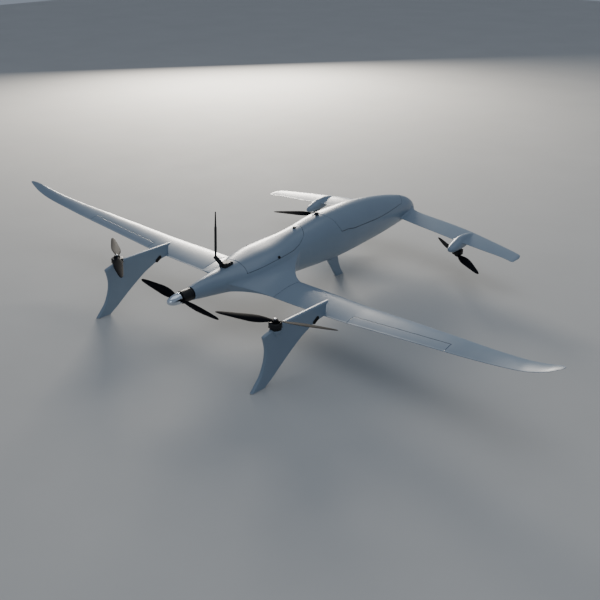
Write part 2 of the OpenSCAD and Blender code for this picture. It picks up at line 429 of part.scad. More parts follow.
// stator with its mounting foot, Z up towards the rotor, z 0 at the foot
module stator() difference() {
  union() {
    cylinder(r = motor_r - 4, h = 4);
    cylinder(r = 8.5, h = 19);
    difference() { translate([0, 0, 5.5]) cylinder(r = motor_r - 5, h = 12);
      for (k = [0:11]) rotate([0, 0, 30 * k]) translate([motor_r - 9, -1.4, 5]) cube([8, 2.8, 13]); }
  }
  translate([0, 0, -1]) cylinder(r = 3 + run_gap, h = 24);
  for (k = [0:3]) rotate([0, 0, 45 + 90 * k]) translate([15.5, 0, -1]) cylinder(r = 1.6, h = 6.4, $fn = 24);
}
module bell() {
  difference() {
    translate([0, 0, 4.8]) cylinder(r = motor_r, h = 18.2);
    translate([0, 0, 4]) cylinder(r = motor_r - 3.2, h = 16);
    for (k = [0:5]) rotate([0, 0, 60 * k]) translate([15.5, 0, 18]) cylinder(r = 4.2, h = 8, $fn = 32);
  }
  translate([0, 0, 1]) cylinder(r = 3, h = 31);
  translate([0, 0, 19.6]) cylinder(r = 8, h = 3.8);
}
module cap() difference() {
  union() { cylinder(r = 6.5, h = 4, $fn = 6); translate([0, 0, 3.9]) cylinder(r = 4.6, h = 1.8); }
  translate([0, 0, -1]) cylinder(r = 3, h = 2.4);
}
foot_rear = rear_rotor_z - 29;
module rear(s) translate([s * fin_x, 0, foot_rear]) children();
module front(s) translate([s * pod_x, pod_y, front_rotor_z + 29]) rotate([180, 0, 0]) children();
module prop_on(a, m) translate([0, 0, 29]) rotate([0, 0, a]) mirror([0, m, 0]) lift_prop();
module stator_rear_r() color("dimgray") air() rear(1) { stator(); translate([0, 0, -5.6]) cylinder(r = 24, h = 5.8); }
module stator_rear_l() color("dimgray") air() rear(-1) { stator(); translate([0, 0, -5.6]) cylinder(r = 24, h = 5.8); }
module stator_front_r() color("dimgray") air() front(1) stator();
module stator_front_l() color("dimgray") air() front(-1) stator();
module bell_rear_r() color("black") air() rear(1) bell();
module bell_rear_l() color("black") air() rear(-1) bell();
module bell_front_r() color("black") air() front(1) bell();
module bell_front_l() color("black") air() front(-1) bell();
module rotor_rear_r() color("black") air() rear(1) prop_on(22.25, 1);
module rotor_rear_l() color("black") air() rear(-1) prop_on(148.4, 0);
module rotor_front_r() color("black") air() front(1) prop_on(-145.05, 0);
module rotor_front_l() color("black") air() front(-1) prop_on(-29.4, 1);
module cap_rear_r() color("silver") air() rear(1) translate([0, 0, 34.2]) cap();
module cap_rear_l() color("silver") air() rear(-1) translate([0, 0, 34.2]) cap();
module cap_front_r() color("silver") air() front(1) translate([0, 0, 34.2]) cap();
module cap_front_l() color("silver") air() front(-1) translate([0, 0, 34.2]) cap();

// ---------- pusher ----------
// Z of the children points aft along the propeller shaft, z 0 on the firewall's rear face
module aft() translate([0, 8, push_z]) rotate([90, 0, 0]) children();
module firewall() color("dimgray") air() translate([0, 13, push_z]) rotate([90, 0, 0]) difference() {
  cylinder(r = 24.5, h = 4);
  translate([0, 0, -1]) cylinder(r = 6, h = 6);
  for (k = [0:3]) rotate([0, 0, 45 + 90 * k]) translate([16, 0, -1]) cylinder(r = 1.6, h = 6, $fn = 24);
}
module pusher_stator() color("dimgray") air() aft() difference() {
  union() {
    translate([0, 0, -0.8]) cylinder(r = 23, h = 3.8);
    translate([0, 0, 2.9]) cylinder(r1 = 23, r2 = 27.5, h = 3);
    translate([0, 0, 5.8]) cylinder(r = 27.5, h = 9);
    translate([0, 0, 14.7]) cylinder(r = 9, h = 30);
    translate([0, 0, 17]) cylinder(r = 22, h = 26);
  }
  translate([0, 0, -4]) cylinder(r = 4 + run_gap, h = 60);
}
module pusher_bell() color("black") air() aft() {
  difference() {
    translate([0, 0, 15.4]) cylinder(r = 27.5, h = 44);
    translate([0, 0, 15]) cylinder(r = 23.8, h = 36);
    for (k = [0:7]) rotate([0, 0, 45 * k]) translate([16, 0, 50]) cylinder(r = 4.4, h = 12, $fn = 32);
    translate([0, 0, 50]) cylinder(r = 7.8, h = 3.2);
  }
  translate([0, 0, 2]) cylinder(r = 4, h = 87);
}
module pusher_prop() color("black") air() translate([0, push_y, push_z]) rotate([90, 0, 0]) difference() {
  union() {
    for (a = [0, 180]) rotate([0, 0, a - 3.62]) blade(push_b, push_rs);
    translate([0, 0, -6.8]) cylinder(r = 15, h = 13.2);
  }
  translate([0, 0, -20]) cylinder(r = 4.02, h = 40);
}
// pointed shell over the propeller hub, with a slot for each blade
module spinner() color("silver") air() translate([0, push_y, push_z]) rotate([90, 0, 0]) difference() {
  rotate_extrude() polygon(concat([[0, 59], [0, 34]], [[4.1, 30], [4.1, 22], [16, 14], [21, 4], [21, -3], [25, -3], [25, -2]],
      [for (k = [0:9]) let (a = 9 * k) [24.6 * cos(a * 0.97), 4 + 55 * pow(sin(a), 1.12)]]));
  for (a = [0, 180]) rotate([0, 0, a - 3.62]) translate([14, -15, -9]) cube([16, 30, 19]);
}

// ---------- antenna ----------
ant_z = 282; ant_y = 222;
piv = [ant_x, 163, 341];
module antenna_base() color("black") air() difference() {
  union() {
    loft(concat([for (k = [0.04, 0.35, 0.7, 1]) base_ring(k, 0)], [base_ring(1, 1), base_ring(0.93, 2),
      base_ring(0.8, 3), base_ring(0.05, 3)]), true);
    for (s = [1, -1]) translate([piv[0] + s * 6.2 - 2, piv[1], piv[2]]) rotate([37, 0, 0])
      translate([0, -7, -60]) cube([4, 14, 65]);
  }
  translate([ant_x - 20, piv[1], piv[2]]) rotate([0, 90, 0]) cylinder(r = 1.5 + run_gap, h = 40, $fn = 32);
}
// height of the deck, and rings of the base: level 0 rests on the deck, 1 to 3 close over the top
function deck(x, y) = let (b = curve(body_t, y)) b[1] + b[3] * pow(1 - pow(abs(x / b[2]), b[6]), 1 / b[6]);
function base_ring(k, level) = [for (q = [0:27]) let (a = 360 * q / 28,
    x = ant_x + k * ant_w / 2 * sgn(cos(a)) * pow(abs(cos(a)), 0.4),
    y = ant_y + k * ant_l / 2 * sgn(sin(a)) * pow(abs(sin(a)), 0.4))
    [x, y, level == 0 ? deck(x, y) + 0.7 : ant_z + [0, 15.5, 19.5, 21][level]]];
module antenna_whip() color("black") air() translate(piv) rotate([-3.5, 0, 0]) {
  translate([-3.8, 0, 0]) rotate([0, 90, 0]) cylinder(r = 4.2, h = 7.6, $fn = 32);
  translate([-8.6, 0, 0]) rotate([0, 90, 0]) cylinder(r = 1.5, h = 17.2, $fn = 32);
  cylinder(r = 3.8, h = 26);
  translate([0, 0, 25.9]) cylinder(r1 = 5.6, r2 = 5.2, h = 112);
  translate([0, 0, 137.8]) cylinder(r1 = 4, r2 = 2.4, h = whip_h - 142);
  translate([0, 0, whip_h - 4.3]) sphere(r = 2.6, $fn = 32);
}

// ---------- inside ----------
tray_z = 174; former_y = [580, 760, 1020, 1180];
module equipment_tray() color("tan") air() difference() {
  translate([-50, 505, tray_z]) cube([100, 700, 3]);
  for (y = [720, 780, 835], s = [1, -1]) translate([s * 26, y, 170]) cylinder(r = 15, h = 20);
}
// formers under the tray, shaped to the inside of the skin
module formers() color("tan") air() for (y = former_y) translate([0, y, 0]) rotate([90, 0, 0])
  linear_extrude(height = 4) difference() {
    intersection() {
      polygon([for (k = [0:47]) let (p = section(y - 2, 7.5 * k, skin + 1.6)) [p[0], p[2]]]);
      translate([-200, 0]) square([400, tray_z - 0.1]);
    }
    for (s = [1, -1]) translate([s * 24, 154]) circle(r = 8, $fn = 32);
  }
module battery_packs() color("royalblue") air() for (y = [885, 1045]) translate([-40, y, tray_z + 3.2])
  cube([80, 140, 62]);
module autopilot() color("darkgreen") air() translate([-24, 520, tray_z + 3.2]) union() {
  cube([48, 80, 6]); translate([5, 8, 5.8]) cube([38, 60, 16]);
}
module lift_escs() color("dimgray") air() for (x = [-55, -27, 1, 29]) translate([x, 622, tray_z + 3.2])
  cube([26, 68, 14]);
module pusher_esc() color("dimgray") air() translate([-15, 112, 191]) cube([30, 74, 16]);
module screw(l) { cylinder(r = 2.9, h = 2.4, $fn = 32); translate([0, 0, -l]) cylinder(r = 1.55, h = l + 0.1, $fn = 24); }
module motor_screws() color("silver") air() for (k = [0:3])
  translate([0, 13.2, push_z]) rotate([-90, 0, 0]) rotate([0, 0, 45 + 90 * k]) translate([16, 0, 0]) screw(3.9);
module leg_screws() color("silver") air() for (y = leg_screw_y) translate([0, y, 124.6]) {
  cylinder(r = 4.6, h = 3);
  translate([0, 0, -18]) cylinder(r = 2.45, h = 18.1);
}

fuselage_shell();
nose_hatch();
centre_hatch();
wing_r();
wing_l();
elevon_r();
elevon_l();
elevon_pin_r();
elevon_pin_l();
elevon_servo_r();
elevon_servo_l();
wing_spars();
canard_r();
canard_l();
canard_spar();
pod_r();
pod_l();
fin_r();
fin_l();
front_leg();
foot_pad_r();
foot_pad_l();
foot_pad_front();
fin_vents();
stator_rear_r();
stator_rear_l();
stator_front_r();
stator_front_l();
bell_rear_r();
bell_rear_l();
bell_front_r();
bell_front_l();
rotor_rear_r();
rotor_rear_l();
rotor_front_r();
rotor_front_l();
cap_rear_r();
cap_rear_l();
cap_front_r();
cap_front_l();
firewall();
pusher_stator();
pusher_bell();
pusher_prop();
spinner();
antenna_base();
antenna_whip();
hatch_latch_r();
hatch_latch_l();
hatch_knob();
pull_pin();
latch_block();
equipment_tray();
formers();
battery_packs();
autopilot();
lift_escs();
pusher_esc();
motor_screws();
leg_screws();
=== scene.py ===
import math

import bmesh
import bpy
import numpy as np
from mathutils import Matrix, Vector


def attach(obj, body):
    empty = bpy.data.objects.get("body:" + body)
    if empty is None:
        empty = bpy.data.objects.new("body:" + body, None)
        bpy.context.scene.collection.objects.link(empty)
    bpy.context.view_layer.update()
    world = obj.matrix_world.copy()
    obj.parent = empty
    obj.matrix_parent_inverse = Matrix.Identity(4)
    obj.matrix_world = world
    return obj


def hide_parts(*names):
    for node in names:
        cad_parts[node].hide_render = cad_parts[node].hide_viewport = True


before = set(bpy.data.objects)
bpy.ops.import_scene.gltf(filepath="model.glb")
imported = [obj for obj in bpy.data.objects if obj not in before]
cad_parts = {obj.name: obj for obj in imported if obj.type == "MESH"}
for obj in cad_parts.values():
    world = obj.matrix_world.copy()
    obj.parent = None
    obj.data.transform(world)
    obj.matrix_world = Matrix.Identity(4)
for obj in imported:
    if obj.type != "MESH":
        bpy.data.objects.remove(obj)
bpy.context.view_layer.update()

# ---------------------------------------------------------------- frame and tables
# Shapes are worked out in millimetres with y 0 at the rear rotors. The frame's origin is at y Y_MID.
# SKIN is the shell's wall, ROOT_X where the wings' outer panels start.
Y_MID = 729.5
SKIN, ROOT_X = 2.6, 228.0

# station, centre height, half width, height above, depth below, squareness below and above
BODY = [[0, 227, 28, 28, 28, 2, 2], [60, 228, 37, 40, 38, 2, 2], [120, 229, 50, 47, 46, 2, 2],
        [180, 230, 67, 52, 54, 2, 2], [250, 232, 93, 61, 64, 2.15, 2.15], [330, 234, 112, 72, 76, 2.35, 2.35],
        [400, 235, 116, 81, 84, 2.5, 2.5], [500, 236, 110, 89, 91, 2.4, 2.45],
        [574, 236, 97, 97, 96, 2.15, 2.35], [672, 236, 92, 109, 105, 2.05, 2.35],
        [795, 239, 97, 124, 115, 2, 2.45], [870, 241, 100, 127, 120, 2, 2.4],
        [970, 243, 100, 127, 121, 2, 2.3], [1049, 244, 98, 126, 118, 2, 2.2],
        [1130, 244, 94, 121, 113, 2, 2.1], [1213, 243, 88, 114, 107, 2, 2], [1298, 240, 81, 104, 97, 2, 2],
        [1367, 236, 73, 95, 86, 2, 2], [1440, 230, 63, 84, 72, 2, 2], [1500, 223, 54, 73, 58, 2, 2],
        [1550, 214, 40, 58, 43, 2, 2], [1590, 206, 22, 33, 24, 2, 2], [1604, 202, 3, 4, 4, 2, 2]]
# angle of the covers' side edges along the body
EDGE = [[0, 25], [560, 27], [600, 33], [630, 43], [650, 51], [700, 29], [760, 17], [828, 15], [890, 15],
        [960, 11.5], [1150, 12], [1213, 13.5], [1290, 18], [1360, 25], [1430, 34], [1490, 32], [1604, 25]]
# station, shift at the cover's edge, shift on the centreline
ROWS = [[8, 0, 0], [32, 0, 0], [58, 0, 0], [85, 0, 0], [110, 0, 0], [132, 0, 0], [155, 0, 0],
        [206, 0, 0], [264, -6, 4], [300, 0, 0], [350, 0, 0], [400, 0, 0], [450, 0, 0], [505, 0, 0],
        [560, 0, 0], [595, 0, 0], [622, 0, 8], [650, 0, 38], [700, 12, 14], [745, 30, 2], [790, 48, 0],
        [822, 64, 0], [880, 50, 0], [945, 28, 0], [1010, 10, 0], [1075, 0, 0], [1140, 0, 0],
        [1205, 0, 0], [1270, 0, 0], [1330, 0, 4], [1385, 0, 20], [1430, 0, 45], [1475, 0, 25],
        [1520, 0, 5], [1560, 0, 0], [1588, 0, 0], [1600, 0, 0]]
# span station, leading edge, trailing edge, its height, thickness share, rise of the nose
WING = [[200, 450, 269, 185, .125, 9], [350, 447, 269, 187, .125, 9], [500, 440, 269, 190, .125, 9],
        [620, 431, 269, 194.5, .122, 9], [700, 424, 268, 201.2, .12, 8], [900, 403, 266, 217.9, .12, 8],
        [1000, 393, 264.5, 226.3, .12, 7], [1110, 381, 263, 235.5, .118, 7], [1200, 370, 262, 243.5, .116, 6],
        [1300, 353, 257, 257, .115, 5], [1400, 326, 242, 279, .11, 4], [1460, 306, 231, 299, .105, 3],
        [1510, 286, 226, 320, .1, 2], [1545, 266, 225, 340, .1, 1], [1564, 247, 226, 352, .1, 0],
        [1571, 236, 229, 356, .1, 0]]
# span station, leading edge, trailing edge, height, thickness share
CANARD = [[30, 1567, 1418, 205, .12], [100, 1545, 1404, 203, .12], [170, 1535, 1391, 201, .12],
          [300, 1520, 1371, 197.5, .118], [440, 1497, 1349, 193, .115], [600, 1452, 1328, 189, .11],
          [714, 1417, 1316, 186, .105], [765, 1399, 1305, 184.5, .1], [785, 1385, 1299, 184, .1],
          [796, 1360, 1303, 184, .1]]
# station, underside, top, half width
POD = [[1262.5, 163, 171, 4], [1268, 158.5, 177, 12], [1280, 154.5, 184.5, 19], [1300, 152.2, 193.5, 24],
       [1330, 151.7, 204.5, 27], [1355, 151.7, 212, 27.5], [1385, 154, 215, 26], [1412, 161, 213.5, 22.5],
       [1440, 173, 209.5, 16], [1458, 184, 205.5, 8.5], [1463, 189, 203, 4]]
# fin and front leg: height, rear edge, front edge
FIN = [[4, -144, -67], [30, -120, -25], [58, -95, 13], [100, -74, 74], [125, -66.5, 113],
       [144, -63.5, 145], [158, -62.5, 176], [175, -63.5, 219], [184, -65, 262], [188, -66, 289],
       [200, -68, 292], [219, -72, 293.5], [224, -60, 294.5], [232, -30, 297], [239, 0, 304],
       [243.5, 30, 312], [245, 46, 315]]
LEG = [[4, 953, 1009], [30, 937, 992], [60, 919, 979], [90, 900, 970], [120.5, 880, 964]]
# lift rotor and pusher blades: radius, chord, pitch in degrees, thickness
LIFT = [[9, 14, 25, 6.2], [14, 15, 24, 6], [30, 22, 22, 5.6], [52, 34, 19, 4.8], [82, 43, 16, 4.2],
        [112, 43, 13.5, 3.5], [150, 37, 11.5, 2.9], [190, 29, 10, 2.3], [225, 21, 9, 1.8],
        [246, 13, 8, 1.4], [254, 6, 8, 1.1]]
PUSH = [[10, 15, 31, 7.1], [16, 16, 30, 7], [34, 26, 28, 6.4], [60, 37, 24, 5.4], [95, 41, 19, 4.4],
        [140, 35, 14, 3.4], [190, 26, 11, 2.5], [225, 18, 9.5, 1.9], [240, 12, 9, 1.5], [247, 5, 9, 1.1]]
FIN_X, FIN_T, POD_X, POD_Y = 502.0, 18.0, 467.0, 1343.0
MOTOR_R, PUSH_Y, PUSH_Z = 27.0, -62.0, 227.0
FIN_TOP, POD_SEAT = 235, 151
# the pusher motor's radius, and the turn of its propeller from level
PUSH_R, PUSH_TURN = 27.5, 3.62


# ---------------------------------------------------------------- maths
def curve(table, y):
    """Smooth curve through the rows of a table whose first column is the position."""
    t, y = np.asarray(table, float), np.asarray(y, float)
    i = np.clip(np.searchsorted(t[:, 0], y, side="right") - 1, 0, len(t) - 2)
    a, b, c, d = t[np.maximum(i - 1, 0)], t[i], t[i + 1], t[np.minimum(i + 2, len(t) - 1)]
    h = (c - b)[..., :1]
    u = (y[..., None] - b[..., :1]) / h
    m1, m2 = (c - a) * (h / (c - a)[..., :1]), (d - b) * (h / (d - b)[..., :1])
    return (b * (2 * u**3 - 3 * u**2 + 1) + m1 * (u**3 - 2 * u**2 + u)
            + c * (3 * u**2 - 2 * u**3) + m2 * (u**3 - u**2))


def spow(v, p):
    return np.sign(v) * np.abs(v) ** p


def lerp(a, b, t):
    return a + (b - a) * t


def turn(points, angle, axis):
    """Points turned by angle degrees about an axis through the origin."""
    r = np.array(Matrix.Rotation(math.radians(angle), 3, Vector(axis)))
    return np.asarray(points, float) @ r.T


# ---------------------------------------------------------------- meshes
def piece(name, verts, faces, mat, body, stands=(), slot=None, sharp=32, merge=0.0):
    """A mesh from millimetre points, riding on a CAD body."""
    v = (np.asarray(verts, float) - [0, Y_MID, 0]) / 1000
    me = bpy.data.meshes.new(name)
    me.from_pydata(v.tolist(), [], [tuple(int(k) for k in f) for f in faces])
    me.validate()
    ob = bpy.data.objects.new(name, me)
    bpy.context.scene.collection.objects.link(ob)
    bm = bmesh.new()
    bm.from_mesh(me)
    if merge:
        bmesh.ops.remove_doubles(bm, verts=bm.verts, dist=merge / 1000)
    bmesh.ops.recalc_face_normals(bm, faces=bm.faces)
    bm.to_mesh(me)
    bm.free()
    me.shade_smooth()
    me.set_sharp_from_angle(angle=math.radians(sharp))
    for m in mat if isinstance(mat, (list, tuple)) else [mat]:
        me.materials.append(m)
    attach(ob, body)
    if stands:
        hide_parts(*stands)
    return ob


class Build:
    """Collects parts of one mesh."""

    def __init__(self):
        self.v, self.f, self.n = [], [], 0

    def add(self, verts, faces):
        verts = np.asarray(verts, float).reshape(-1, 3)
        self.v.append(verts)
        self.f += [tuple(int(k) + self.n for k in f) for f in faces]
        self.n += len(verts)
        return self

    def made(self):
        return np.vstack(self.v), self.f


def grid_faces(rows, cols, wrap=False):
    m = cols if wrap else cols - 1
    return [(i * cols + j, i * cols + (j + 1) % cols, (i + 1) * cols + (j + 1) % cols, (i + 1) * cols + j)
            for i in range(rows - 1) for j in range(m)]


def loft(rings, caps=True):
    """Closed skin over a (rings, points, 3) array, each end closed by a flat cap."""
    r = np.asarray(rings, float)
    n, m = r.shape[:2]
    f = grid_faces(n, m, True)
    if caps:
        f += [tuple(range(m - 1, -1, -1)), tuple((n - 1) * m + k for k in range(m))]
    return r.reshape(-1, 3), f


def lathe(profile, n, at=(0, 0, 0)):
    """A turned solid from (radius, height) points."""
    p = np.asarray(profile, float)
    a = np.arange(n) * 2 * math.pi / n
    v = np.stack([np.outer(p[:, 0], np.cos(a)), np.outer(p[:, 0], np.sin(a)),
                  np.repeat(p[:, 1:2], n, 1)], -1)
    return (v + at).reshape(-1, 3), grid_faces(len(p), n, True)


def round_path(points, radius, steps=4, closed=False):
    """A polyline with its corners rounded. radius is one number, or one for each corner."""
    p = [np.asarray(q, float) for q in points]
    rad = radius if isinstance(radius, (list, tuple)) else [radius] * len(p)
    out = []
    for i, q in enumerate(p):
        if not closed and i in (0, len(p) - 1) or rad[i] <= 0:
            out.append(q)
            continue
        a, b = p[i - 1] - q, p[(i + 1) % len(p)] - q
        la, lb = np.linalg.norm(a), np.linalg.norm(b)
        a, b = a / la, b / lb
        ang = math.acos(max(-1, min(1, float(a @ b))))
        if ang > math.pi - 0.02:
            out.append(q)
            continue
        d = min(rad[i] / math.tan(ang / 2), la * 0.49, lb * 0.49)
        s, e = q + a * d, q + b * d
        for k in range(steps + 1):
            t = k / steps
            out.append(s * (1 - t) ** 2 + q * 2 * t * (1 - t) + e * t**2)
    return np.array(out)


def turned(points, corners, n):
    """A turned solid whose profile has rounded corners."""
    return lathe(round_path(points, corners), n)


def tube(path, radius, n, closed=False):
    """A round bar along a path."""
    p = np.asarray(path, float)
    rings, side = [], None
    for i in range(len(p)):
        t = (p[(i + 1) % len(p)] - p[i - 1]) if closed else p[min(i + 1, len(p) - 1)] - p[max(i - 1, 0)]
        t = t / np.linalg.norm(t)
        if side is None:
            side = np.cross(t, [0.31, 0.87, 0.38])
        side = side - t * (side @ t)
        side /= np.linalg.norm(side)
        up = np.cross(t, side)
        a = np.arange(n) * 2 * math.pi / n
        rings.append(p[i] + radius * (np.outer(np.cos(a), side) + np.outer(np.sin(a), up)))
    if closed:
        rings.append(rings[0])
        return loft(rings, caps=False)
    return loft(rings)


def around(b, shape, n, start=0.0):
    """Adds n copies of a shape, evenly spaced about the z axis."""
    v, f = shape
    for k in range(n):
        b.add(turn(v, start + 360 / n * k, (0, 0, 1)), f)


def screw_head(r, h, hole, floor, corner, n, at):
    """A cap screw's head with a round socket."""
    profile = [[.01, 0], [r, 0], [r, h], [hole, h], [hole, floor], [.01, floor]]
    return lathe(round_path(profile, corner), n, at=at)


def rounded_box(size, radius, at=(0, 0, 0), steps=3):
    """A box with all its edges rounded, as a loft of rounded rectangles."""
    sx, sy, sz = size
    r = min(radius, sx / 2.01, sy / 2.01, sz / 2.01)
    rings = []
    hs = [(r * (1 - math.cos(math.pi / 2 * k / steps)), r * (1 - math.sin(math.pi / 2 * k / steps)))
          for k in range(steps + 1)]

    def ring(inset, z):
        pts = []
        for cx, cy, a0 in ((1, 1, 0), (-1, 1, 90), (-1, -1, 180), (1, -1, 270)):
            for k in range(steps + 2):
                a = math.radians(a0 + 90 * k / (steps + 1))
                q = max(r - inset, 0.02)
                pts.append([cx * (sx / 2 - r) + q * math.cos(a), cy * (sy / 2 - r) + q * math.sin(a), z])
        return pts
    for dz, inset in hs:
        rings.append(ring(inset, -sz / 2 + dz))
    for dz, inset in reversed(hs):
        rings.append(ring(inset, sz / 2 - dz))
    v, f = loft(rings)
    return v + np.asarray(at, float), f


def circle(r, z, n):
    """Points of a level circle about the z axis."""
    return [[r * math.cos(q), r * math.sin(q), z] for q in np.linspace(0, 2 * math.pi, n + 1)[:-1]]


# ---------------------------------------------------------------- materials
def material(name, base, rough, metal=0.0, coat=0.0, scale=40.0, vary=0.08, rough_vary=0.08, bump=0.0,
             bump_scale=300.0, kind="noise", spec=0.5, second=None, coat_rough=0.08):
    """A procedural finish: noise, weave or grain in the base colour, uneven roughness, fine relief."""
    m = bpy.data.materials.new(name)
    m.use_nodes = True
    tree = m.node_tree
    link = tree.links.new
    shader = tree.nodes["Principled BSDF"]
    for k, v in (("Metallic", metal), ("Coat Weight", coat), ("Coat Roughness", coat_rough),
                 ("Specular IOR Level", spec)):
        shader.inputs[k].default_value = v
    place = tree.nodes.new("ShaderNodeTexCoord").outputs["Object"]

    def node(what, source=None, **inputs):
        n = tree.nodes.new("ShaderNode" + what)
        for k, v in inputs.items():
            n.inputs[k.replace("_", " ")].default_value = v
        if source is not None:
            link(source, n.inputs[0])
        return n

    if kind == "weave":
        both = node("Math")
        both.operation = "MULTIPLY"
        for k, d in enumerate("XY"):
            wave = node("TexWave", place, Scale=60, Distortion=1.5)
            wave.bands_direction = d
            link(wave.outputs["Fac"], both.inputs[k])
        pattern = both.outputs[0]
    elif kind == "grain":
        wave = node("TexWave", place, Scale=9, Distortion=7, Detail=4)
        wave.bands_direction = "Z"
        pattern = wave.outputs["Fac"]
    else:
        pattern = node("TexNoise", place, Scale=scale, Detail=6, Roughness=0.6).outputs["Fac"]
    ramp = node("ValToRGB", pattern)
    b = np.array(base, float)
    colours = (b * (1 - vary) if second is None else second, np.minimum(b * (1 + vary), 1))
    for element, position, colour in zip(ramp.color_ramp.elements, (0.3, 0.7), colours):
        element.position, element.color = position, (*colour, 1)
    link(ramp.outputs["Color"], shader.inputs["Base Color"])
    uneven = node("TexNoise", place, Scale=scale * 2.7, Detail=4)
    span = node("MapRange", uneven.outputs["Fac"], To_Min=max(rough - rough_vary, 0.02),
                To_Max=min(rough + rough_vary, 1))
    link(span.outputs["Result"], shader.inputs["Roughness"])
    if bump:
        relief = node("Bump", Strength=bump, Distance=0.001)
        link(node("TexNoise", place, Scale=bump_scale, Detail=3).outputs["Fac"], relief.inputs["Height"])
        link(relief.outputs["Normal"], shader.inputs["Normal"])
    return m


PAINT = material("paint", (.215, .28, .355), .36, coat=.18, scale=7, vary=.03, rough_vary=.05, bump=.02,
                 bump_scale=900, coat_rough=.2)
# near-black bare composite: the shell's real inside, and also painted shade in the hinge gaps and under the
# cover seams
INNER = material("bare_composite_and_gap_shade", (.03, .031, .034), .55, scale=30, vary=.3, kind="weave")
CARBON = material("carbon", (.008, .009, .012), .55, scale=50, vary=.3, kind="weave", coat_rough=.2, spec=.02)
BLACK = material("black_anodised", (.010, .0105, .012), .4, metal=.2, scale=90, vary=.2, spec=.4)
ALU = material("turned_aluminium", (.50, .51, .53), .3, metal=1, scale=120, vary=.06, rough_vary=.1)
POLISH = material("polished", (.66, .72, .80), .13, metal=1, scale=60, vary=.03, rough_vary=.04)
PLASTIC = material("black_plastic", (.009, .0095, .011), .5, scale=120, vary=.25, bump=.12, bump_scale=1500,
                   spec=.35)
RUBBER = material("pad", (.42, .43, .44), .7, scale=90, vary=.08, bump=.15)
STEEL = material("steel", (.36, .37, .39), .32, metal=1, scale=160, vary=.08)
PLY = material("plywood", (.55, .40, .23), .62, scale=30, second=(.44, .30, .16), kind="grain", bump=.08)
WRAP = material("battery_wrap", (.02, .075, .20), .28, scale=25, vary=.12, bump=.05, bump_scale=200)
COPPER = material("copper", (.62, .30, .16), .38, metal=1, scale=400, vary=.2)


# ---------------------------------------------------------------- fuselage
# The skin is a grid of NI rows and NJ columns, each cut into SI and SJ strips.
NI, NJ, SI, SJ = len(ROWS) - 1, 28, 6, 6
# rows of the centre and nose covers, their edge column, and the rows and columns of the wing root
C0, C1, N0, N1, JE = 8, 17, 21, 31, 8
R0, R1, JR0, JR1 = 6, 15, 3, 7


def te(y):
    """Angle of the covers' side edges at station y."""
    e = np.asarray(EDGE, float)
    return np.interp(y, e[:, 0], e[:, 1])


def col(j, e):
    """Angle of column j: -90 at the keel, e at the covers' edge, 90 on the crown."""
    return np.where(j <= 3, lerp(-90, -55, j / 3),
                    np.where(j <= 7, lerp(-55, e - 9, (j - 3) / 4),
                             np.where(j <= 8, lerp(e - 9, e, j - 7), lerp(e, 90, (j - 8) / 6))))


def section(y, th, off=0.0):
    """Point of the body's section at station y and angle th, off millimetres inside."""
    b = curve(BODY, y)
    c, s = np.cos(np.radians(th)), np.sin(np.radians(th))
    k = 2 / np.where(s > 0, b[..., 6], b[..., 5])
    return np.stack([(b[..., 2] - off) * spow(c, k), y + 0 * th,
                     b[..., 1] + np.where(s > 0, b[..., 3] - off, b[..., 4] - off) * spow(s, k)], -1)


def body_pt(i, j, off=0.0, dy=0.0, dth=0.0):
    """The skin at row i and column j, both continuous; j 0 is the keel, 14 the crown, 28 the keel again."""
    i, j = np.broadcast_arrays(np.asarray(i, float), np.asarray(j, float))
    left = j > 14
    h = np.where(left, 28 - j, j)
    r = np.asarray(ROWS, float)
    r0, r1, r2 = (np.interp(i, np.arange(len(r)), r[:, k]) for k in range(3))
    e = te(r0)
    th = np.clip(col(h, e) + dth, -90, 90)
    u = np.clip((th - e) / (90 - e), 0, 1)
    u = np.clip(1 - (np.sqrt((1 - u) ** 2 + 0.0144)), 0, 1)
    sk = np.where(th > e, lerp(r1, r2, u**0.8), r1 * ((th + 90) / (e + 90)) ** 1.5)
    p = section(r0 + sk + dy, th, off)
    p[..., 0] = np.where(left, -p[..., 0], p[..., 0])
    return p


def foil_t(f):
    q = 1 - f
    return 5 * (.2969 * np.sqrt(q) - .126 * q - .3516 * q**2 + .2843 * q**3 - .1 * q**4)


def foil_pt(x, f, side):
    """A point of the wing section at span x, f of the chord ahead of the trailing edge; side 1 is the top."""
    x, f, side = np.broadcast_arrays(*(np.asarray(v, float) for v in (x, f, side)))
    w = curve(WING, x)
    c, q = w[..., 1] - w[..., 2], 1 - f
    t = c * w[..., 4] * foil_t(f)
    return np.stack([x, w[..., 2] + c * f,
                     w[..., 3] + 1.2 + w[..., 5] * f + .09 * c * f * q
                     + side * np.maximum(t, 1.1) * np.where(side < 0, .85, 1)], -1)


def wing_loop(k):
    k = np.asarray(k, float)
    chord = lambda u: .985 * (1 - (1 - np.clip(u, 0, 1)) ** 1.25)
    s = np.clip((15 - k) / 2, -1, 1)
    f = np.where(k < 4, 0, np.where(k < 13, chord((k - 4) / 9), np.where(k < 17, 1 - .015 * s**2,
                                                                        chord(1 - (k - 17) / 9))))
    side = np.where(k < 4, lerp(-1, 1, k / 4), np.where(k < 13, 1, np.where(k < 17, np.sign(s), -1)))
    return foil_pt(ROOT_X, f, side)


LOOP = ([(R0, j) for j in range(JR0, JR1)] + [(i, JR1) for i in range(R0, R1)]
        + [(R1, j) for j in range(JR1, JR0, -1)] + [(i, JR0) for i in range(R1, R0, -1)])


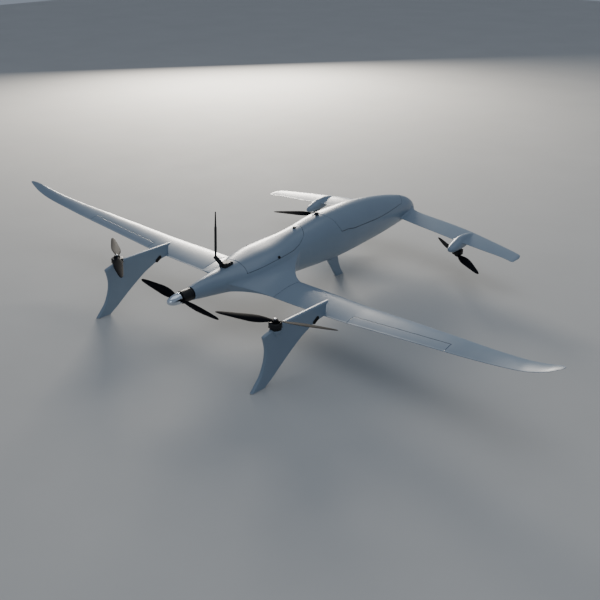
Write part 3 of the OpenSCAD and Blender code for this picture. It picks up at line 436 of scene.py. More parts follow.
def fairing(steps=26):
    """The wing root fairing: curves leave the body along its skin and arrive square to the wing root."""
    lv = []
    for i, j in LOOP:
        up = 1 if j == JR1 else -1 if j == JR0 else 0
        fw = 1 if i == R0 else -1 if i == R1 else 0
        b = body_pt(i, j)
        v = np.zeros(3)
        if up:
            a = body_pt(i, j, dth=-3.0 * up)
            v = (a - b) / np.linalg.norm(a - b)
        v = v + [0, fw, 0]
        lv.append(v / np.linalg.norm(v) * (34 if fw == 0 else 46))
    lv, n = np.array(lv), len(LOOP)
    ks, loop = [], []
    for k in range(n):
        a, b = LOOP[k], LOOP[(k + 1) % n]
        for s in range(SI if a[1] == b[1] else SJ):
            t = s / (SI if a[1] == b[1] else SJ)
            ks.append(k + t)
            loop.append((lerp(a[0], b[0], t), lerp(a[1], b[1], t)))
    ks, loop = np.array(ks), np.array(loop)
    p0 = body_pt(loop[:, 0], loop[:, 1])
    ext = np.vstack([lv, lv[:1]])
    d0 = np.stack([np.interp(ks, np.arange(n + 1), ext[:, c]) for c in range(3)], -1)
    p3 = wing_loop(ks)
    p1, p2 = p0 + d0, p3 - [64, 0, 0]
    t = (np.arange(steps + 1) / steps)[:, None, None]
    return p0 * (1 - t) ** 3 + p1 * 3 * (1 - t) ** 2 * t + p2 * 3 * (1 - t) * t**2 + p3 * t**3


def fuselage():
    ii, jj = np.linspace(0, NI, NI * SI + 1), np.linspace(0, NJ, NJ * SJ + 1)[:-1]
    gi, gj = np.meshgrid(ii, jj, indexing="ij")
    outer, inner = body_pt(gi, gj), body_pt(gi, gj, SKIN)
    n, m = gi.shape
    ci, cj = np.arange(n - 1) // SI, np.arange(m) // SJ
    hatch = (((ci[:, None] >= C0) & (ci[:, None] < C1)) | ((ci[:, None] >= N0) & (ci[:, None] < N1))) \
        & ((cj[None] >= JE) & (cj[None] < NJ - JE))
    root = ((ci[:, None] >= R0) & (ci[:, None] < R1)) \
        & (((cj[None] >= JR0) & (cj[None] < JR1)) | ((cj[None] >= NJ - JR1) & (cj[None] < NJ - JR0)))
    b = Build()
    fo, fi, rim = [], [], []
    g = n * m
    for i in range(n - 1):
        for j in range(m):
            k = (j + 1) % m
            a, c, d, e = i * m + j, i * m + k, (i + 1) * m + k, (i + 1) * m + j
            if hatch[i, j]:
                continue
            if not root[i, j]:
                fo.append((a, c, d, e))
            fi.append((g + a, g + e, g + d, g + c))
            if hatch[i, k]:
                rim.append((c, d, g + d, g + c))
            if hatch[i, j - 1]:
                rim.append((e, a, g + a, g + e))
            if i < n - 2 and hatch[i + 1, j]:
                rim.append((d, e, g + e, g + d))
            if i > 0 and hatch[i - 1, j]:
                rim.append((a, c, g + c, g + a))
    rim += [(j, g + j, g + (j + 1) % m, (j + 1) % m) for j in range(m)]
    b.add(np.concatenate([outer.reshape(-1, 3), inner.reshape(-1, 3)]), fo + fi + rim)
    # nose tip
    tip = np.array([[0, BODY[-1][0], float(BODY[-1][1])]])
    b.add(np.vstack([outer[-1], tip]), [(j, (j + 1) % m, m) for j in range(m)])
    fr = fairing()
    for s in (1, -1):
        pts = fr * [s, 1, 1]
        r, q = pts.shape[:2]
        b.add(pts, grid_faces(r, q, True))
        end = pts[-1]
        mid = end.mean(0)
        inset, deep = mid + (end - mid) * [1, .985, .8], [s * 4, 0, 0]
        b.add(np.vstack([end, inset, inset - deep]), grid_faces(3, q, True))
        b.add(np.vstack([inset - deep, [mid - deep]]), [(k, (k + 1) % q, q) for k in range(q)])
    return piece("fuselage_skin", *b.made(), [PAINT, INNER], "airframe", ["fuselage_shell"], "shell_paint",
                 merge=.02)


def relax(ob, rounds=160):
    """Eases the wing roots into the body: points near them drift to the mean of their neighbours."""
    me = ob.data
    n = len(me.vertices)
    p = np.empty(n * 3)
    me.vertices.foreach_get("co", p)
    p = p.reshape(-1, 3) * 1000 + [0, Y_MID, 0]
    e = np.array([ed.vertices[:] for ed in me.edges])
    deg = np.bincount(e.ravel(), minlength=n)[:, None]
    far = body_far(p)
    q = np.abs(p[:, 0])
    y = p[:, 1]
    ramp = lambda v, a, b: np.clip((v - a) / (b - a), 0, 1)
    # on the fairing: full weight, falling to none at the wing root
    w_f = np.where(far > 1.5, 1 - ramp(q, 196, 224), 0)
    # on the body's outer skin: only close round the root openings, and higher up behind the wing
    th = np.degrees(np.arctan2(p[:, 2] - 234, q))
    skin = np.abs(far) < .35
    top = 19 + 42 * (1 - ramp(y, 205, 255))
    w_s = ramp(y, 70, 140) * (1 - ramp(y, 595, 690)) * (1 - ramp(th, top - 8, top)) * ramp(th, -62, -40)
    w_s = np.where(skin, w_s, 0)
    w = np.maximum(w_f, w_s)[:, None]
    w[far < -1.2] = 0
    b = curve(BODY, np.clip(y, 1, 1603))
    out = np.stack([p[:, 0] / b[:, 2] ** 2, 0 * y, (p[:, 2] - b[:, 1]) / b[:, 4] ** 2], -1)
    out /= np.maximum(np.linalg.norm(out, axis=1, keepdims=True), 1e-9)
    # the skin never sinks, and the fairing mostly keeps its outline seen from above
    held = (w_s > 0)[:, None]
    for _ in range(rounds):
        s = np.zeros_like(p)
        np.add.at(s, e[:, 0], p[e[:, 1]])
        np.add.at(s, e[:, 1], p[e[:, 0]])
        d = s / deg - p
        d[:, :2] *= np.where(w_f > 0, .3, 1)[:, None]
        d = d - np.where(held, np.minimum((d * out).sum(1, keepdims=True), 0) * out, 0)
        p = p + .55 * w * d
    me.vertices.foreach_set("co", ((p - [0, Y_MID, 0]) / 1000).ravel())
    me.update()


def body_far(p):
    """Rough distance outside the body skin."""
    b = curve(BODY, np.clip(p[..., 1], 1, 1603))
    up = p[..., 2] > b[..., 1]
    h, e = np.where(up, b[..., 3], b[..., 4]), np.where(up, b[..., 6], b[..., 5])
    q = (np.abs(p[..., 0] / b[..., 2]) ** e + np.abs((p[..., 2] - b[..., 1]) / h) ** e) ** (1 / e)
    return (q - 1) * np.minimum(b[..., 2], h)


shell = fuselage()
relax(shell)


def paint_inside(ob, inset=1.2):
    """Second material on faces that look inward, towards the body's axis."""
    for p in ob.data.polygons:
        c = p.center * 1000
        y = c.y + Y_MID
        b = curve(BODY, np.array(float(min(max(y, 1), 1600))))
        hx, hz = b[2] - inset, (b[3] if c.z > b[1] else b[4]) - inset
        e = b[6] if c.z > b[1] else b[5]
        inside = (abs(c.x) / hx) ** e + (abs(c.z - b[1]) / hz) ** e < 1
        n = p.normal
        if inside and (n.x * c.x + n.z * (c.z - b[1])) < 0:
            p.material_index = 1


paint_inside(shell)


def cover(name, i0, i1, body, node, gap=1.7):
    """A hatch cover with rounded edges, drawn in from the opening by the gap."""
    ri = [(i0, gap, .9), (i0, gap + .35, .25), (i0, gap + 1.1, 0)] \
        + [(i0 + k / SI, 0, 0) for k in range(1, (i1 - i0) * SI)] \
        + [(i1, -gap - 1.1, 0), (i1, -gap - .35, .25), (i1, -gap, .9)]
    dg = gap * .6
    rj = [(JE, dg, .9), (JE, dg + .2, .25), (JE, dg + .65, 0)] \
        + [(JE + k / SJ, 0, 0) for k in range(1, (NJ - 2 * JE) * SJ)] \
        + [(NJ - JE, dg + .65, 0), (NJ - JE, dg + .2, .25), (NJ - JE, dg, .9)]
    gi, gj = np.meshgrid([r[0] for r in ri], [r[0] for r in rj], indexing="ij")
    dy = np.array([r[1] for r in ri])[:, None] + 0 * gj
    dth = np.array([r[1] for r in rj])[None] + 0 * gi
    off = np.maximum(np.array([r[2] for r in ri])[:, None], np.array([r[2] for r in rj])[None])
    top, low = body_pt(gi, gj, off, dy, dth), body_pt(gi, gj, SKIN + 0 * off, dy, dth)
    n, m = gi.shape
    g = n * m
    f = grid_faces(n, m)
    f += [tuple(g + k for k in reversed(q)) for q in grid_faces(n, m)]
    edge = [(0, j) for j in range(m)] + [(i, m - 1) for i in range(1, n)] \
        + [(n - 1, j) for j in range(m - 2, -1, -1)] + [(i, 0) for i in range(n - 2, 0, -1)]
    e = [i * m + j for i, j in edge]
    f += [(e[k], g + e[k], g + e[(k + 1) % len(e)], e[(k + 1) % len(e)]) for k in range(len(e))]
    v = np.vstack([top.reshape(-1, 3), low.reshape(-1, 3)])
    paint_inside(piece(name, v, f, [PAINT, INNER], body, [node], "shell_paint"))


cover("nose_cover", N0, N1, "b_nose_hatch", "nose_hatch")
cover("centre_cover", C0, C1, "b_centre_hatch", "centre_hatch")


def flange(name, i0, i1):
    """The ledge of near-black bare composite that each cover sits on; its dark colour is painted shade under
    the cover seams.
    """
    b = Build()
    wide, dth, high, low = 9.0, 5.0, SKIN + .5, SKIN + 1.7
    j = np.linspace(JE, NJ - JE, (NJ - 2 * JE) * 4 + 1)
    for i, s in ((i0, 1), (i1, -1)):
        rows = [body_pt(i, j, off, d * s) for off, d in ((high, -2), (high, wide), (low, wide), (low, -2))]
        b.add(*loft(np.array(rows).transpose(1, 0, 2)))
    i = np.linspace(i0, i1, (i1 - i0) * 4 + 1)
    for j0 in (JE, NJ - JE):
        rows = [body_pt(i, j0, off, 0, d) for off, d in ((high, -1.5), (high, dth), (low, dth), (low, -1.5))]
        b.add(*loft(np.array(rows).transpose(1, 0, 2)))
    piece(name, *b.made(), INNER, "airframe", slot="carbon")


flange("nose_opening_ledge", N0, N1)
flange("centre_opening_ledge", C0, C1)


# ---------------------------------------------------------------- wings
# the elevon's inner and outer ends and its chord
E0, E1, E_CHORD = 633.0, 1098.0, 46.0


def hinge_at(x):
    """Point of the elevon's hinge line at span x."""
    def end(xe):
        w = curve(WING, np.array(float(xe)))
        f = E_CHORD / (w[1] - w[2])
        return (foil_pt(xe, f, 1) + foil_pt(xe, f, -1)) / 2
    return lerp(end(E0), end(E1), (np.asarray(x, float)[..., None] - E0) / (E1 - E0))


def share(x, ahead):
    """Chord share of a line a little ahead of the hinge."""
    w = curve(WING, x)
    return (hinge_at(x)[..., 1] + ahead - w[..., 2]) / (w[..., 1] - w[..., 2])


def wing_ring(x, f0, n=44, cove=False):
    """One section from chord share f0 forward, round the nose and back; a cove has a hollow rear face."""
    u = np.arange(n + 1) / n
    f = f0 + (1 - f0) * (.5 - .5 * np.cos(np.pi * u**.85))
    f = np.minimum(f, .9999)
    top, low = foil_pt(x, f, 1), foil_pt(x, f[::-1], -1)
    if not cove:
        w0 = foil_pt(x, f0, np.linspace(-1, 1, 7)[1:-1])
    else:
        h = hinge_at(np.array(float(x)))
        a, c = low[-1] - h, top[0] - h
        a0, a1 = math.atan2(a[2], a[1]), math.atan2(c[2], c[1])
        aa = np.linspace(a0, a1, 7)[1:-1]
        rr = np.linspace(np.hypot(a[1], a[2]), np.hypot(c[1], c[2]), 7)[1:-1]
        w0 = np.stack([0 * aa + x, h[1] + rr * np.cos(aa), h[2] + rr * np.sin(aa)], -1)
    return np.vstack([top, low, w0])


def wing_mesh():
    b = Build()
    x = np.r_[ROOT_X + 1.3, ROOT_X + 1.6, ROOT_X + 2.4, np.linspace(240, E0, 26)]
    rings = [wing_ring(v, 0.0) for v in x]
    mid = rings[0].mean(0)
    rings[0] = mid + (rings[0] - mid) * [1, .996, .94]
    rings[1] = mid + (rings[1] - mid) * [1, .999, .985]
    v1 = np.array(rings)
    v2 = np.array([wing_ring(v, float(share(np.array(v), 3.2)), cove=True) for v in np.linspace(E0, E1, 36)])
    x3 = np.r_[np.linspace(E1, 1500, 34), np.linspace(1505, 1560, 18), 1563, 1566, 1568, 1569.3, 1570]
    v3 = np.array([wing_ring(v, 0.0) for v in x3])
    end = v3[-1].mean(0)
    v3 = np.concatenate([v3, [end + (v3[-1] - end) * [1, .9, .6] + [.6, 0, 0]]])
    for v in (v1, v2, v3):
        b.add(*loft(v))
    return b.made()


def elevon_mesh():
    rings = []
    xs = np.r_[E0 + 2.4, E0 + 2.7, E0 + 3.6, np.linspace(E0 + 8, E1 - 8, 34), E1 - 3.6, E1 - 2.7, E1 - 2.4]
    f = np.linspace(0, 1, 17)
    for x in xs:
        fh = float(share(np.array(x), 0.0))
        top, low = foil_pt(x, fh * f, 1), foil_pt(x, fh * f[::-1], -1)
        u, l = top[-1], low[0]
        c, r = (u + l) / 2, (u[2] - l[2]) / 2
        a = np.radians(np.linspace(80, -80, 15))
        nose = np.stack([0 * a + x, c[1] + r * np.cos(a), c[2] + r * np.sin(a)], -1)
        rings.append(np.vstack([top, nose, low]))
    for k, s in ((0, .93), (1, .985), (-1, .93), (-2, .985)):
        mid = rings[k].mean(0)
        rings[k] = mid + (rings[k] - mid) * [1, .998, s]
    return loft(rings)


def cove_painted_shade(ob):
    """Dark bare composite on the two faces of the hinge gap, as painted shade for the shadow inside the gap.
    """
    for q in ob.data.polygons:
        c = q.center * 1000
        x = abs(c.x)
        if not E0 + 1 < x < E1 - 1:
            continue
        y = c.y + Y_MID - float(hinge_at(np.array(x))[1])
        up = abs(q.normal.z) < .93
        if (ob.name.startswith("wing") and y < 3.3) or (ob.name.startswith("elevon") and y > .4 and up):
            q.material_index = 1


wv, wf = wing_mesh()
ev, ef = elevon_mesh()
for s, n in ((1, "r"), (-1, "l")):
    for what, v, f, body, merge in (("wing_", wv, wf, "airframe", .01),
                                    ("elevon_", ev, ef, "b_elevon_" + n, 0)):
        cove_painted_shade(piece(what + n + "_skin", v * [s, 1, 1], f, [PAINT, INNER], body, [what + n], "shell_paint",
                        merge=merge))


# ---------------------------------------------------------------- canard, pods, fins, leg
def can_pt(x, f, side):
    """A point of the canard's section, as foil_pt."""
    x, f, side = np.broadcast_arrays(*(np.asarray(v, float) for v in (x, f, side)))
    w = curve(CANARD, x)
    c = w[..., 1] - w[..., 2]
    t = c * w[..., 4] * foil_t(f)
    camber = .07 * c * f * (1 - f) + 2 * f
    return np.stack([x, w[..., 2] + c * f, w[..., 3] + camber + side * np.maximum(t, .9)], -1)


def flare(d, r):
    """How far a skin leans out to meet another one that is d away, on a fillet of radius r."""
    q = np.clip(r - d, 0, r)
    return r - np.sqrt(np.maximum(r * r - q * q, 0))


def ring_normals(rings):
    """Outward normals of a ring grid, seen across each ring."""
    r = np.asarray(rings, float)
    t = np.roll(r, -1, 1) - np.roll(r, 1, 1)
    g = np.gradient(r, axis=0)
    n = np.cross(t, g)
    ln = np.linalg.norm(n, axis=-1, keepdims=True)
    n = n / np.maximum(ln, 1e-9)
    c = r.mean(1, keepdims=True)
    flip = np.sign(((r - c) * n).sum(-1).mean())
    return n * flip


def canard_mesh():
    xs = np.r_[np.linspace(40, 130, 30), np.linspace(134, 760, 90), np.linspace(764, 790, 14),
               792, 794, 795, 795.6, 796]
    n = 40
    u = np.arange(n + 1) / n
    f = np.minimum(.5 - .5 * np.cos(np.pi * u**.85), .9999)
    rings = np.array([np.vstack([can_pt(x, f, 1), can_pt(x, f[::-1], -1)]) for x in xs])
    nor = ring_normals(rings)
    nor[..., 0] = 0
    nor /= np.maximum(np.linalg.norm(nor, axis=-1, keepdims=True), 1e-6)
    rad = 9 + 9 * np.clip((rings[..., 1] - 1480) / 60, 0, 1)
    rings = rings + nor * flare(body_far(rings), rad)[..., None]
    end = rings[-1].mean(0)
    rings = np.concatenate([rings, [end + (rings[-1] - end) * [1, .9, .5] + [.3, 0, 0]]])
    return loft(rings)


def canard_far(p):
    """Distance outside the canard, for the pod's fillet."""
    w = curve(CANARD, p[..., 0])
    c = w[..., 1] - w[..., 2]
    f = (p[..., 1] - w[..., 2]) / c
    fc = np.clip(f, 0, .9999)
    q = can_pt(p[..., 0], fc, 0)
    t = np.maximum(c * w[..., 4] * foil_t(fc), .9)
    dz = np.maximum(np.abs(p[..., 2] - q[..., 2]) - t, 0)
    dy = np.where(f < 0, -f * c, np.where(f > 1, (f - 1) * c, 0))
    return np.hypot(dy, dz)


def pod_mesh():
    ys = np.r_[1262.5, 1263.2, 1264.2, 1266, np.linspace(1268, 1455, 110), 1457, 1459, 1461, 1462.3, 1463]
    a = np.radians(np.arange(96) * 360 / 96)
    w = curve(POD, ys)
    h, mid = (w[:, 2] - w[:, 1]) / 2, (w[:, 1] + w[:, 2]) / 2
    rings = np.stack([POD_X + w[:, 3:4] * spow(np.cos(a), .85)[None], np.repeat(ys[:, None], 96, 1),
                      mid[:, None] + h[:, None] * spow(np.sin(a), .9)[None]], -1)
    nor = ring_normals(rings)
    rad = np.where(rings[..., 2] > 195, 9.0, 8.0)
    rings = rings + nor * [1, .5, .1] * flare(canard_far(rings), rad)[..., None]
    return loft(rings)


cv, cf = canard_mesh()
pv, pf = pod_mesh()
for s, n in ((1, "r"), (-1, "l")):
    k = [s, 1, 1]
    piece("canard_" + n + "_skin", cv * k, cf, PAINT, "airframe", ["canard_" + n], "shell_paint")
    piece("pod_" + n + "_skin", pv * k, pf, PAINT, "airframe", ["pod_" + n], "shell_paint")


def slab(z, r, f, t, n=64, edge=16.0):
    """Ring of a flat blade t thick from r to f, with both edges rounded."""
    m, h = (r + f) / 2, (f - r) / 2
    a = np.arange(n) * 2 * math.pi / n
    c, s = np.cos(a), np.sin(a)
    y = m + h * np.sign(s) * (1 - (1 - np.abs(s) ** .8) * min(1, edge / h))
    return np.stack([t / 2 * spow(c, .55), y, 0 * a + z], -1)


def fin_mesh():
    zs = np.r_[np.linspace(4, 219, 88), np.linspace(220, 240, 22), 241, 242, 243, 243.8, 244.4, 244.8, 245]
    rings = []
    for z in zs:
        w = curve(FIN, np.array(float(z)))
        t = FIN_T if z < 241 else FIN_T * math.sqrt(max(1 - ((z - 241) / 4.2) ** 2, .08))
        rings.append(slab(z, w[1], w[2], t))
    b = Build().add(*loft(rings))
    seat = [[.01, 190], [8, 196], [25, 224], [25.6, 229.2], [.01, 229.2]]
    b.add(*turned(seat, [0, 6, 3, .8, 0], 56))
    v, f = b.made()
    return v + [FIN_X, 0, 0], f


def pad_mesh(x, r, f, t):
    steps = ((0, .7), (.25, .2), (.8, 0), (3.2, 0), (3.9, .3))
    v, faces = loft([slab(z, r + i, f - i, t - 2 * i, 48) for z, i in steps])
    return v + [x, 0, 0], faces


fv, ff = fin_mesh()
for s, n in ((1, "r"), (-1, "l")):
    k = [s, 1, 1]
    piece("fin_" + n + "_skin", fv * k, ff, PAINT, "airframe", ["fin_" + n], "shell_paint")
    v, f = pad_mesh(FIN_X, -145, -68, FIN_T + 1)
    piece("foot_" + n, v * k, f, RUBBER, "airframe", ["foot_pad_" + n], "pad_rubber")


def leg_mesh():
    """The front leg, flared where it meets the belly."""
    rings = []
    for z in np.linspace(4, 120.5, 60):
        w = curve(LEG, z)
        body = curve(BODY, (w[1] + w[2]) / 2)
        g = float(flare(body[1] - body[4] - z, 12.0))
        rings.append(slab(z, w[1] - g * .8, w[2] + g * .8, 18 + 2 * g))
    return loft(rings)


piece("front_leg_skin", *leg_mesh(), PAINT, "airframe", ["front_leg"], "shell_paint")
v, f = pad_mesh(0, 953, 1010, 19)
piece("foot_front", v, f, RUBBER, "airframe", ["foot_pad_front"], "pad_rubber")


def oval(r, x, half=11):
    """Ring of a round-ended slot outline in the plane x."""
    a = np.radians(np.arange(48) * 7.5)
    return np.stack([0 * a + x, r * np.sin(a) + np.where(np.sin(a) >= 0, half, -half), r * np.cos(a)], -1)


def vents():
    """A dished oval plate with seven louvres on each face of each fin."""
    plate = [loft([oval(r, x) for r, x in ((9, 0), (9, 1.5), (8.6, 2), (7.4, 2), (7, 1.0), (7, .4))])]
    louvres = [rounded_box((1.4, 1.8, 12.4), .5, (1.2, q * 4.0, 0)) for q in range(-3, 4)]
    b = Build()
    for s in (1, -1):
        for d in (1, -1):
            for v, f in plate + louvres:
                b.add(turn(v, 33, (1, 0, 0)) * [d, 1, 1] + [s * FIN_X + d * (FIN_T / 2 - .2), 226, 186], f)
    return b.made()


piece("vent_louvres", *vents(), PLASTIC, "airframe", ["fin_vents"], "black_plastic")


# ---------------------------------------------------------------- rotors
def blade(table, n=72, m=36, back=-.08):
    """Rings of one twisted blade along +x, with a rounded tip."""
    rs = np.r_[np.linspace(table[0][0], table[-1][0] - 6, n), np.linspace(table[-1][0] - 5, table[-1][0], 9)]
    w = curve(table, rs)
    a = np.arange(m) * 2 * math.pi / m
    tip = np.sqrt(np.clip(1 - np.clip((rs - (table[-1][0] - 7)) / 7.4, 0, 1) ** 2, .05, 1))
    c, p, t = w[:, 1] * tip, np.radians(w[:, 2]), w[:, 3]
    u = c[:, None] / 2 * np.cos(a) + back * w[:, 1:2]
    v = t[:, None] / 2 * np.sin(a) * (1 - .35 * np.cos(a)) + .035 * c[:, None] * (1 - np.cos(a) ** 2)
    return np.stack([np.repeat(rs[:, None], m, 1), u * np.cos(p)[:, None] - v * np.sin(p)[:, None],
                     u * np.sin(p)[:, None] + v * np.cos(p)[:, None]], -1)


def lift_prop(angle, handed):
    b = Build()
    bl = blade(LIFT)
    for a in (0, 180):
        b.add(*loft(turn(bl.reshape(-1, 3), a, (0, 0, 1)).reshape(bl.shape)))
    b.add(*turned([[3.05, -5], [13, -5], [13, 5], [3.05, 5], [3.05, -5]], [0, 1.2, 1.2, 0, 0], 48))
    v, f = b.made()
    if handed:
        v = v * [1, -1, 1]
    return turn(v, angle, (0, 0, 1)), f


def bell_mesh():
    r, bore = MOTOR_R, MOTOR_R - 3.2
    prof = [[bore, 5], [r, 4.8], [r, 21.5], [r - 3, 23], [8, 23], [8, 23.4], [3, 23.4]]
    b = Build().add(*turned(prof, [0, .6, 2.2, 1.5, .3, .3, 0], 72))
    b.add(*lathe([[bore, 5], [bore, 20], [3, 20]], 72))
    # ribs between the cooling slots in the top, and two beads round the side
    around(b, rounded_box((8.5, 2.0, 1.2), .5, (15, 0, 23.2)), 9)
    for z in (7.2, 19.2):
        b.add(*tube(circle(r, z, 72), .35, 8, True))
    b.add(*lathe([[3, 1], [3, 32], [2.4, 32.4], [.01, 32.4]], 32))
    return b.made()


def stator_mesh(disc):
    r = MOTOR_R - 4
    prof = [[.01, 0], [r, 0], [r, 4], [9, 4], [8.5, 5], [8.5, 19], [.01, 19]]
    b = Build().add(*turned(prof, [0, .6, 1.2, .5, .5, .5, 0], 64))
    around(b, rounded_box((11, 8, 3.6), 1.4, (MOTOR_R - 4.5, 0, 1.9)), 4, 45)
    if disc:
        b.add(*turned([[.01, -5.6], [24, -5.6], [24, .1], [.01, .1]], [0, 1, 1, 0], 64))
    return b.made()


def winding_mesh():
    b = Build()
    around(b, rounded_box((9.5, 6.2, 10), 2.4, (16.8, 0, 11.5)), 12)
    return b.made()


def cap_mesh():
    b = Build()
    a = np.radians(np.arange(6) * 60)
    hexa = np.stack([6.5 * np.cos(a), 6.5 * np.sin(a)], -1)
    hexa = round_path(hexa, .6, 3, True)
    rings = [np.c_[hexa * s, 0 * hexa[:, 0] + z] for z, s in ((0, .96), (.3, 1), (3.5, 1), (4, .95))]
    b.add(*loft(rings))
    b.add(*turned([[.01, 4], [4.6, 4], [4.6, 5.7], [.01, 5.7]], [0, .3, .8, 0], 32))
    return b.made()


# how far each lift rotor is turned, and whether its blades are mirrored
PROPS = {"rear_r": (22.25, 1), "rear_l": (148.4, 0), "front_r": (-145.05, 0), "front_l": (-29.4, 1)}
# heights of the blades and the hub nut above the motor's seat
BLADE_Z, NUT_Z = 29, 34.2


def on_motor(v, s, rear):
    """Z of the given points goes up a rear motor's shaft, or down a front one's."""
    v = np.asarray(v, float)
    return v + [s * FIN_X, 0, FIN_TOP] if rear else v * [1, -1, -1] + [s * POD_X, POD_Y, POD_SEAT]


for where, (angle, handed) in PROPS.items():
    s = 1 if where.endswith("_r") else -1
    rear, body = where.startswith("rear"), "spin_" + where
    for (v, f), up, name, mat, on, node, slot in (
            (lift_prop(angle, handed), BLADE_Z, "rotor_%s_blades", CARBON, body, "rotor_", "carbon"),
            (bell_mesh(), 0, "bell_%s_can", BLACK, body, "bell_", "black_metal"),
            (cap_mesh(), NUT_Z, "hub_nut_%s", ALU, body, "cap_", "bare_aluminium"),
            (stator_mesh(rear), 0, "motor_foot_%s", BLACK, "airframe", "stator_", "bare_aluminium")):
        piece(name % where, on_motor(v + [0, 0, up], s, rear), f, mat, on, [node + where], slot)
    v, f = winding_mesh()
    piece("winding_" + where, on_motor(v, s, rear), f, COPPER, "airframe")


# ---------------------------------------------------------------- pusher
def aft(v):
    """Z of the given points goes aft along the propeller shaft from the firewall."""
    v = np.asarray(v, float)
    return np.stack([v[:, 0], 8 - v[:, 2], PUSH_Z + v[:, 1]], -1)


prof = [[.01, -.8], [23, -.8], [23, 2.9], [PUSH_R, 5.9], [PUSH_R, 14.8], [.01, 14.8]]
b = Build().add(*turned(prof, [0, .5, 1.5, 1.2, 1, 0], 72))
b.add(*turned([[.01, 14.7], [9, 14.7], [9, 44], [.01, 44]], [0, .3, .3, 0], 40))
around(b, rounded_box((8, 7, 24), 2.2, (17.5, 0, 30)), 14)
v, f = b.made()
piece("pusher_motor_base", aft(v), f, BLACK, "airframe", ["pusher_stator"], "bare_aluminium")
prof = [[24, 15.4], [PUSH_R, 15.4], [PUSH_R, 56.5], [24.5, 59.4], [7.8, 59.4], [7.8, 53], [4, 53]]
b = Build().add(*turned(prof, [.2, .8, 1.5, 1, .4, .3, 0], 80))
b.add(*lathe([[24, 15.4], [23.8, 51], [4, 51]], 80))
for z in (18.5, 54):
    b.add(*tube(circle(PUSH_R, z, 80), .4, 8, True))
around(b, rounded_box((12, 3, 1.4), .6, (16, 0, 59.4)), 8, 22.5)
b.add(*lathe([[4, 2], [4, 88.6], [3.2, 89], [.01, 89]], 40))
v, f = b.made()
piece("pusher_motor_can", aft(v), f, BLACK, "pusher", ["pusher_bell"], "black_metal")


def pushed(v):
    """Z of the given points goes aft from the propeller's plane."""
    v = np.asarray(v, float)
    return np.stack([v[:, 0], PUSH_Y - v[:, 2], PUSH_Z + v[:, 1]], -1)


b = Build()
bl = blade(PUSH)
for a in (0, 180):
    b.add(*loft(turn(bl.reshape(-1, 3), a - PUSH_TURN, (0, 0, 1)).reshape(bl.shape)))
b.add(*turned([[4.1, -6.8], [15, -6.8], [15, 6.4], [4.1, 6.4], [4.1, -6.8]], [0, 1, 1, 0, 0], 56))
v, f = b.made()
piece("pusher_blades", pushed(v), f, CARBON, "pusher", ["pusher_prop"], "carbon")
k = np.linspace(0, 1, 40)
prof = np.stack([24.6 * np.cos(np.radians(90 * k * .97)), 4 + 55 * np.sin(np.radians(90 * k)) ** 1.12], -1)
prof = np.vstack([[[21, 3], [21, -3], [24.4, -3], [24.9, -2.4], [24.9, -1.2], [24.6, .5]], prof, [[.01, 59]]])
v, f = lathe(prof, 96)
keep = []
for q in f:  # a slot for each blade root
    c = v[list(q)].mean(0)
    a = math.degrees(math.atan2(c[1], c[0])) + PUSH_TURN
    near = min(abs((a + 180) % 360 - 180), abs((a + 360) % 360 - 180))
    if not (c[2] < 9.5 and math.radians(near) * math.hypot(c[0], c[1]) < 9.5):
        keep.append(q)
sp = Build().add(v, keep)
sp.add(*turned([[.01, -3], [21.5, -3], [21.5, -1.2], [.01, -1.2]], .4, 64))
v, f = sp.made()
spinner = piece("spinner_shell", pushed(v), f, POLISH, "pusher", ["spinner"], "polished_metal", sharp=40)
wall = spinner.modifiers.new("wall", "SOLIDIFY")
wall.thickness, wall.offset = .0012, -1

# ---------------------------------------------------------------- antenna
# the base's middle, its length and width, the whip's pivot, and how far the whip and its cheeks lean
AX, AY, AZ, AL, AW = -8.0, 222.0, 282.0, 54.0, 46.0
PIV = np.array([AX, 163.0, 341.0])
WHIP_LEAN, CHEEK_LEAN = -3.5, 37


def deck(x, y):
    """Height of the body's upper skin."""
    q = curve(BODY, y)
    return q[..., 1] + q[..., 3] * (1 - np.abs(x / q[..., 2]) ** q[..., 6]) ** (1 / q[..., 6])


def base_ring(k, level, n=72):
    """Outline of the base scaled by k, at a level above AZ or lying on the deck."""
    a = np.arange(n) * 2 * math.pi / n
    x, y = AX + k * AW / 2 * spow(np.cos(a), .4), AY + k * AL / 2 * spow(np.sin(a), .4)
    z = deck(x, y) + .1 if level is None else AZ + level + 0 * x
    return np.stack([x, y, z], -1)


steps = ((.9, None), (1, None), (1, 14.6), (.99, 15.6), (.94, 19.2), (.92, 19.8), (.81, 20.9), (.79, 21),
         (.7, 21))
b = Build().add(*loft([base_ring(k, level) for k, level in steps]))
for s in (1, -1):
    v, f = rounded_box((4, 14, 65), 1.5, (0, 0, -27.5))
    b.add(turn(v, CHEEK_LEAN, (1, 0, 0)) + PIV + [s * 6.2, 0, 0], f)
for x, y in ((-13, 16), (13, 16), (-13, -12), (13, -12)):
    b.add(*screw_head(2.6, 1.2, 1.2, .5, .2, 20, (AX + x, AY + y, AZ + 20.6)))
piece("antenna_foot", *b.made(), PLASTIC, "airframe", ["antenna_base"], "black_plastic")
prof = [[.01, -4], [3.8, -3.4], [3.8, 25], [5.6, 27], [5.3, 137], [4.2, 139], [2.6, 199], [2.7, 201],
        [2.4, 204.4], [.01, 205]]
b = Build().add(*turned(prof, [0, .5, .8, 1.2, 1, 1, .5, .5, 1, 0], 40))
for z in np.arange(6, 24, 2.6):
    b.add(*tube(circle(4, z, 32), .7, 8, True))
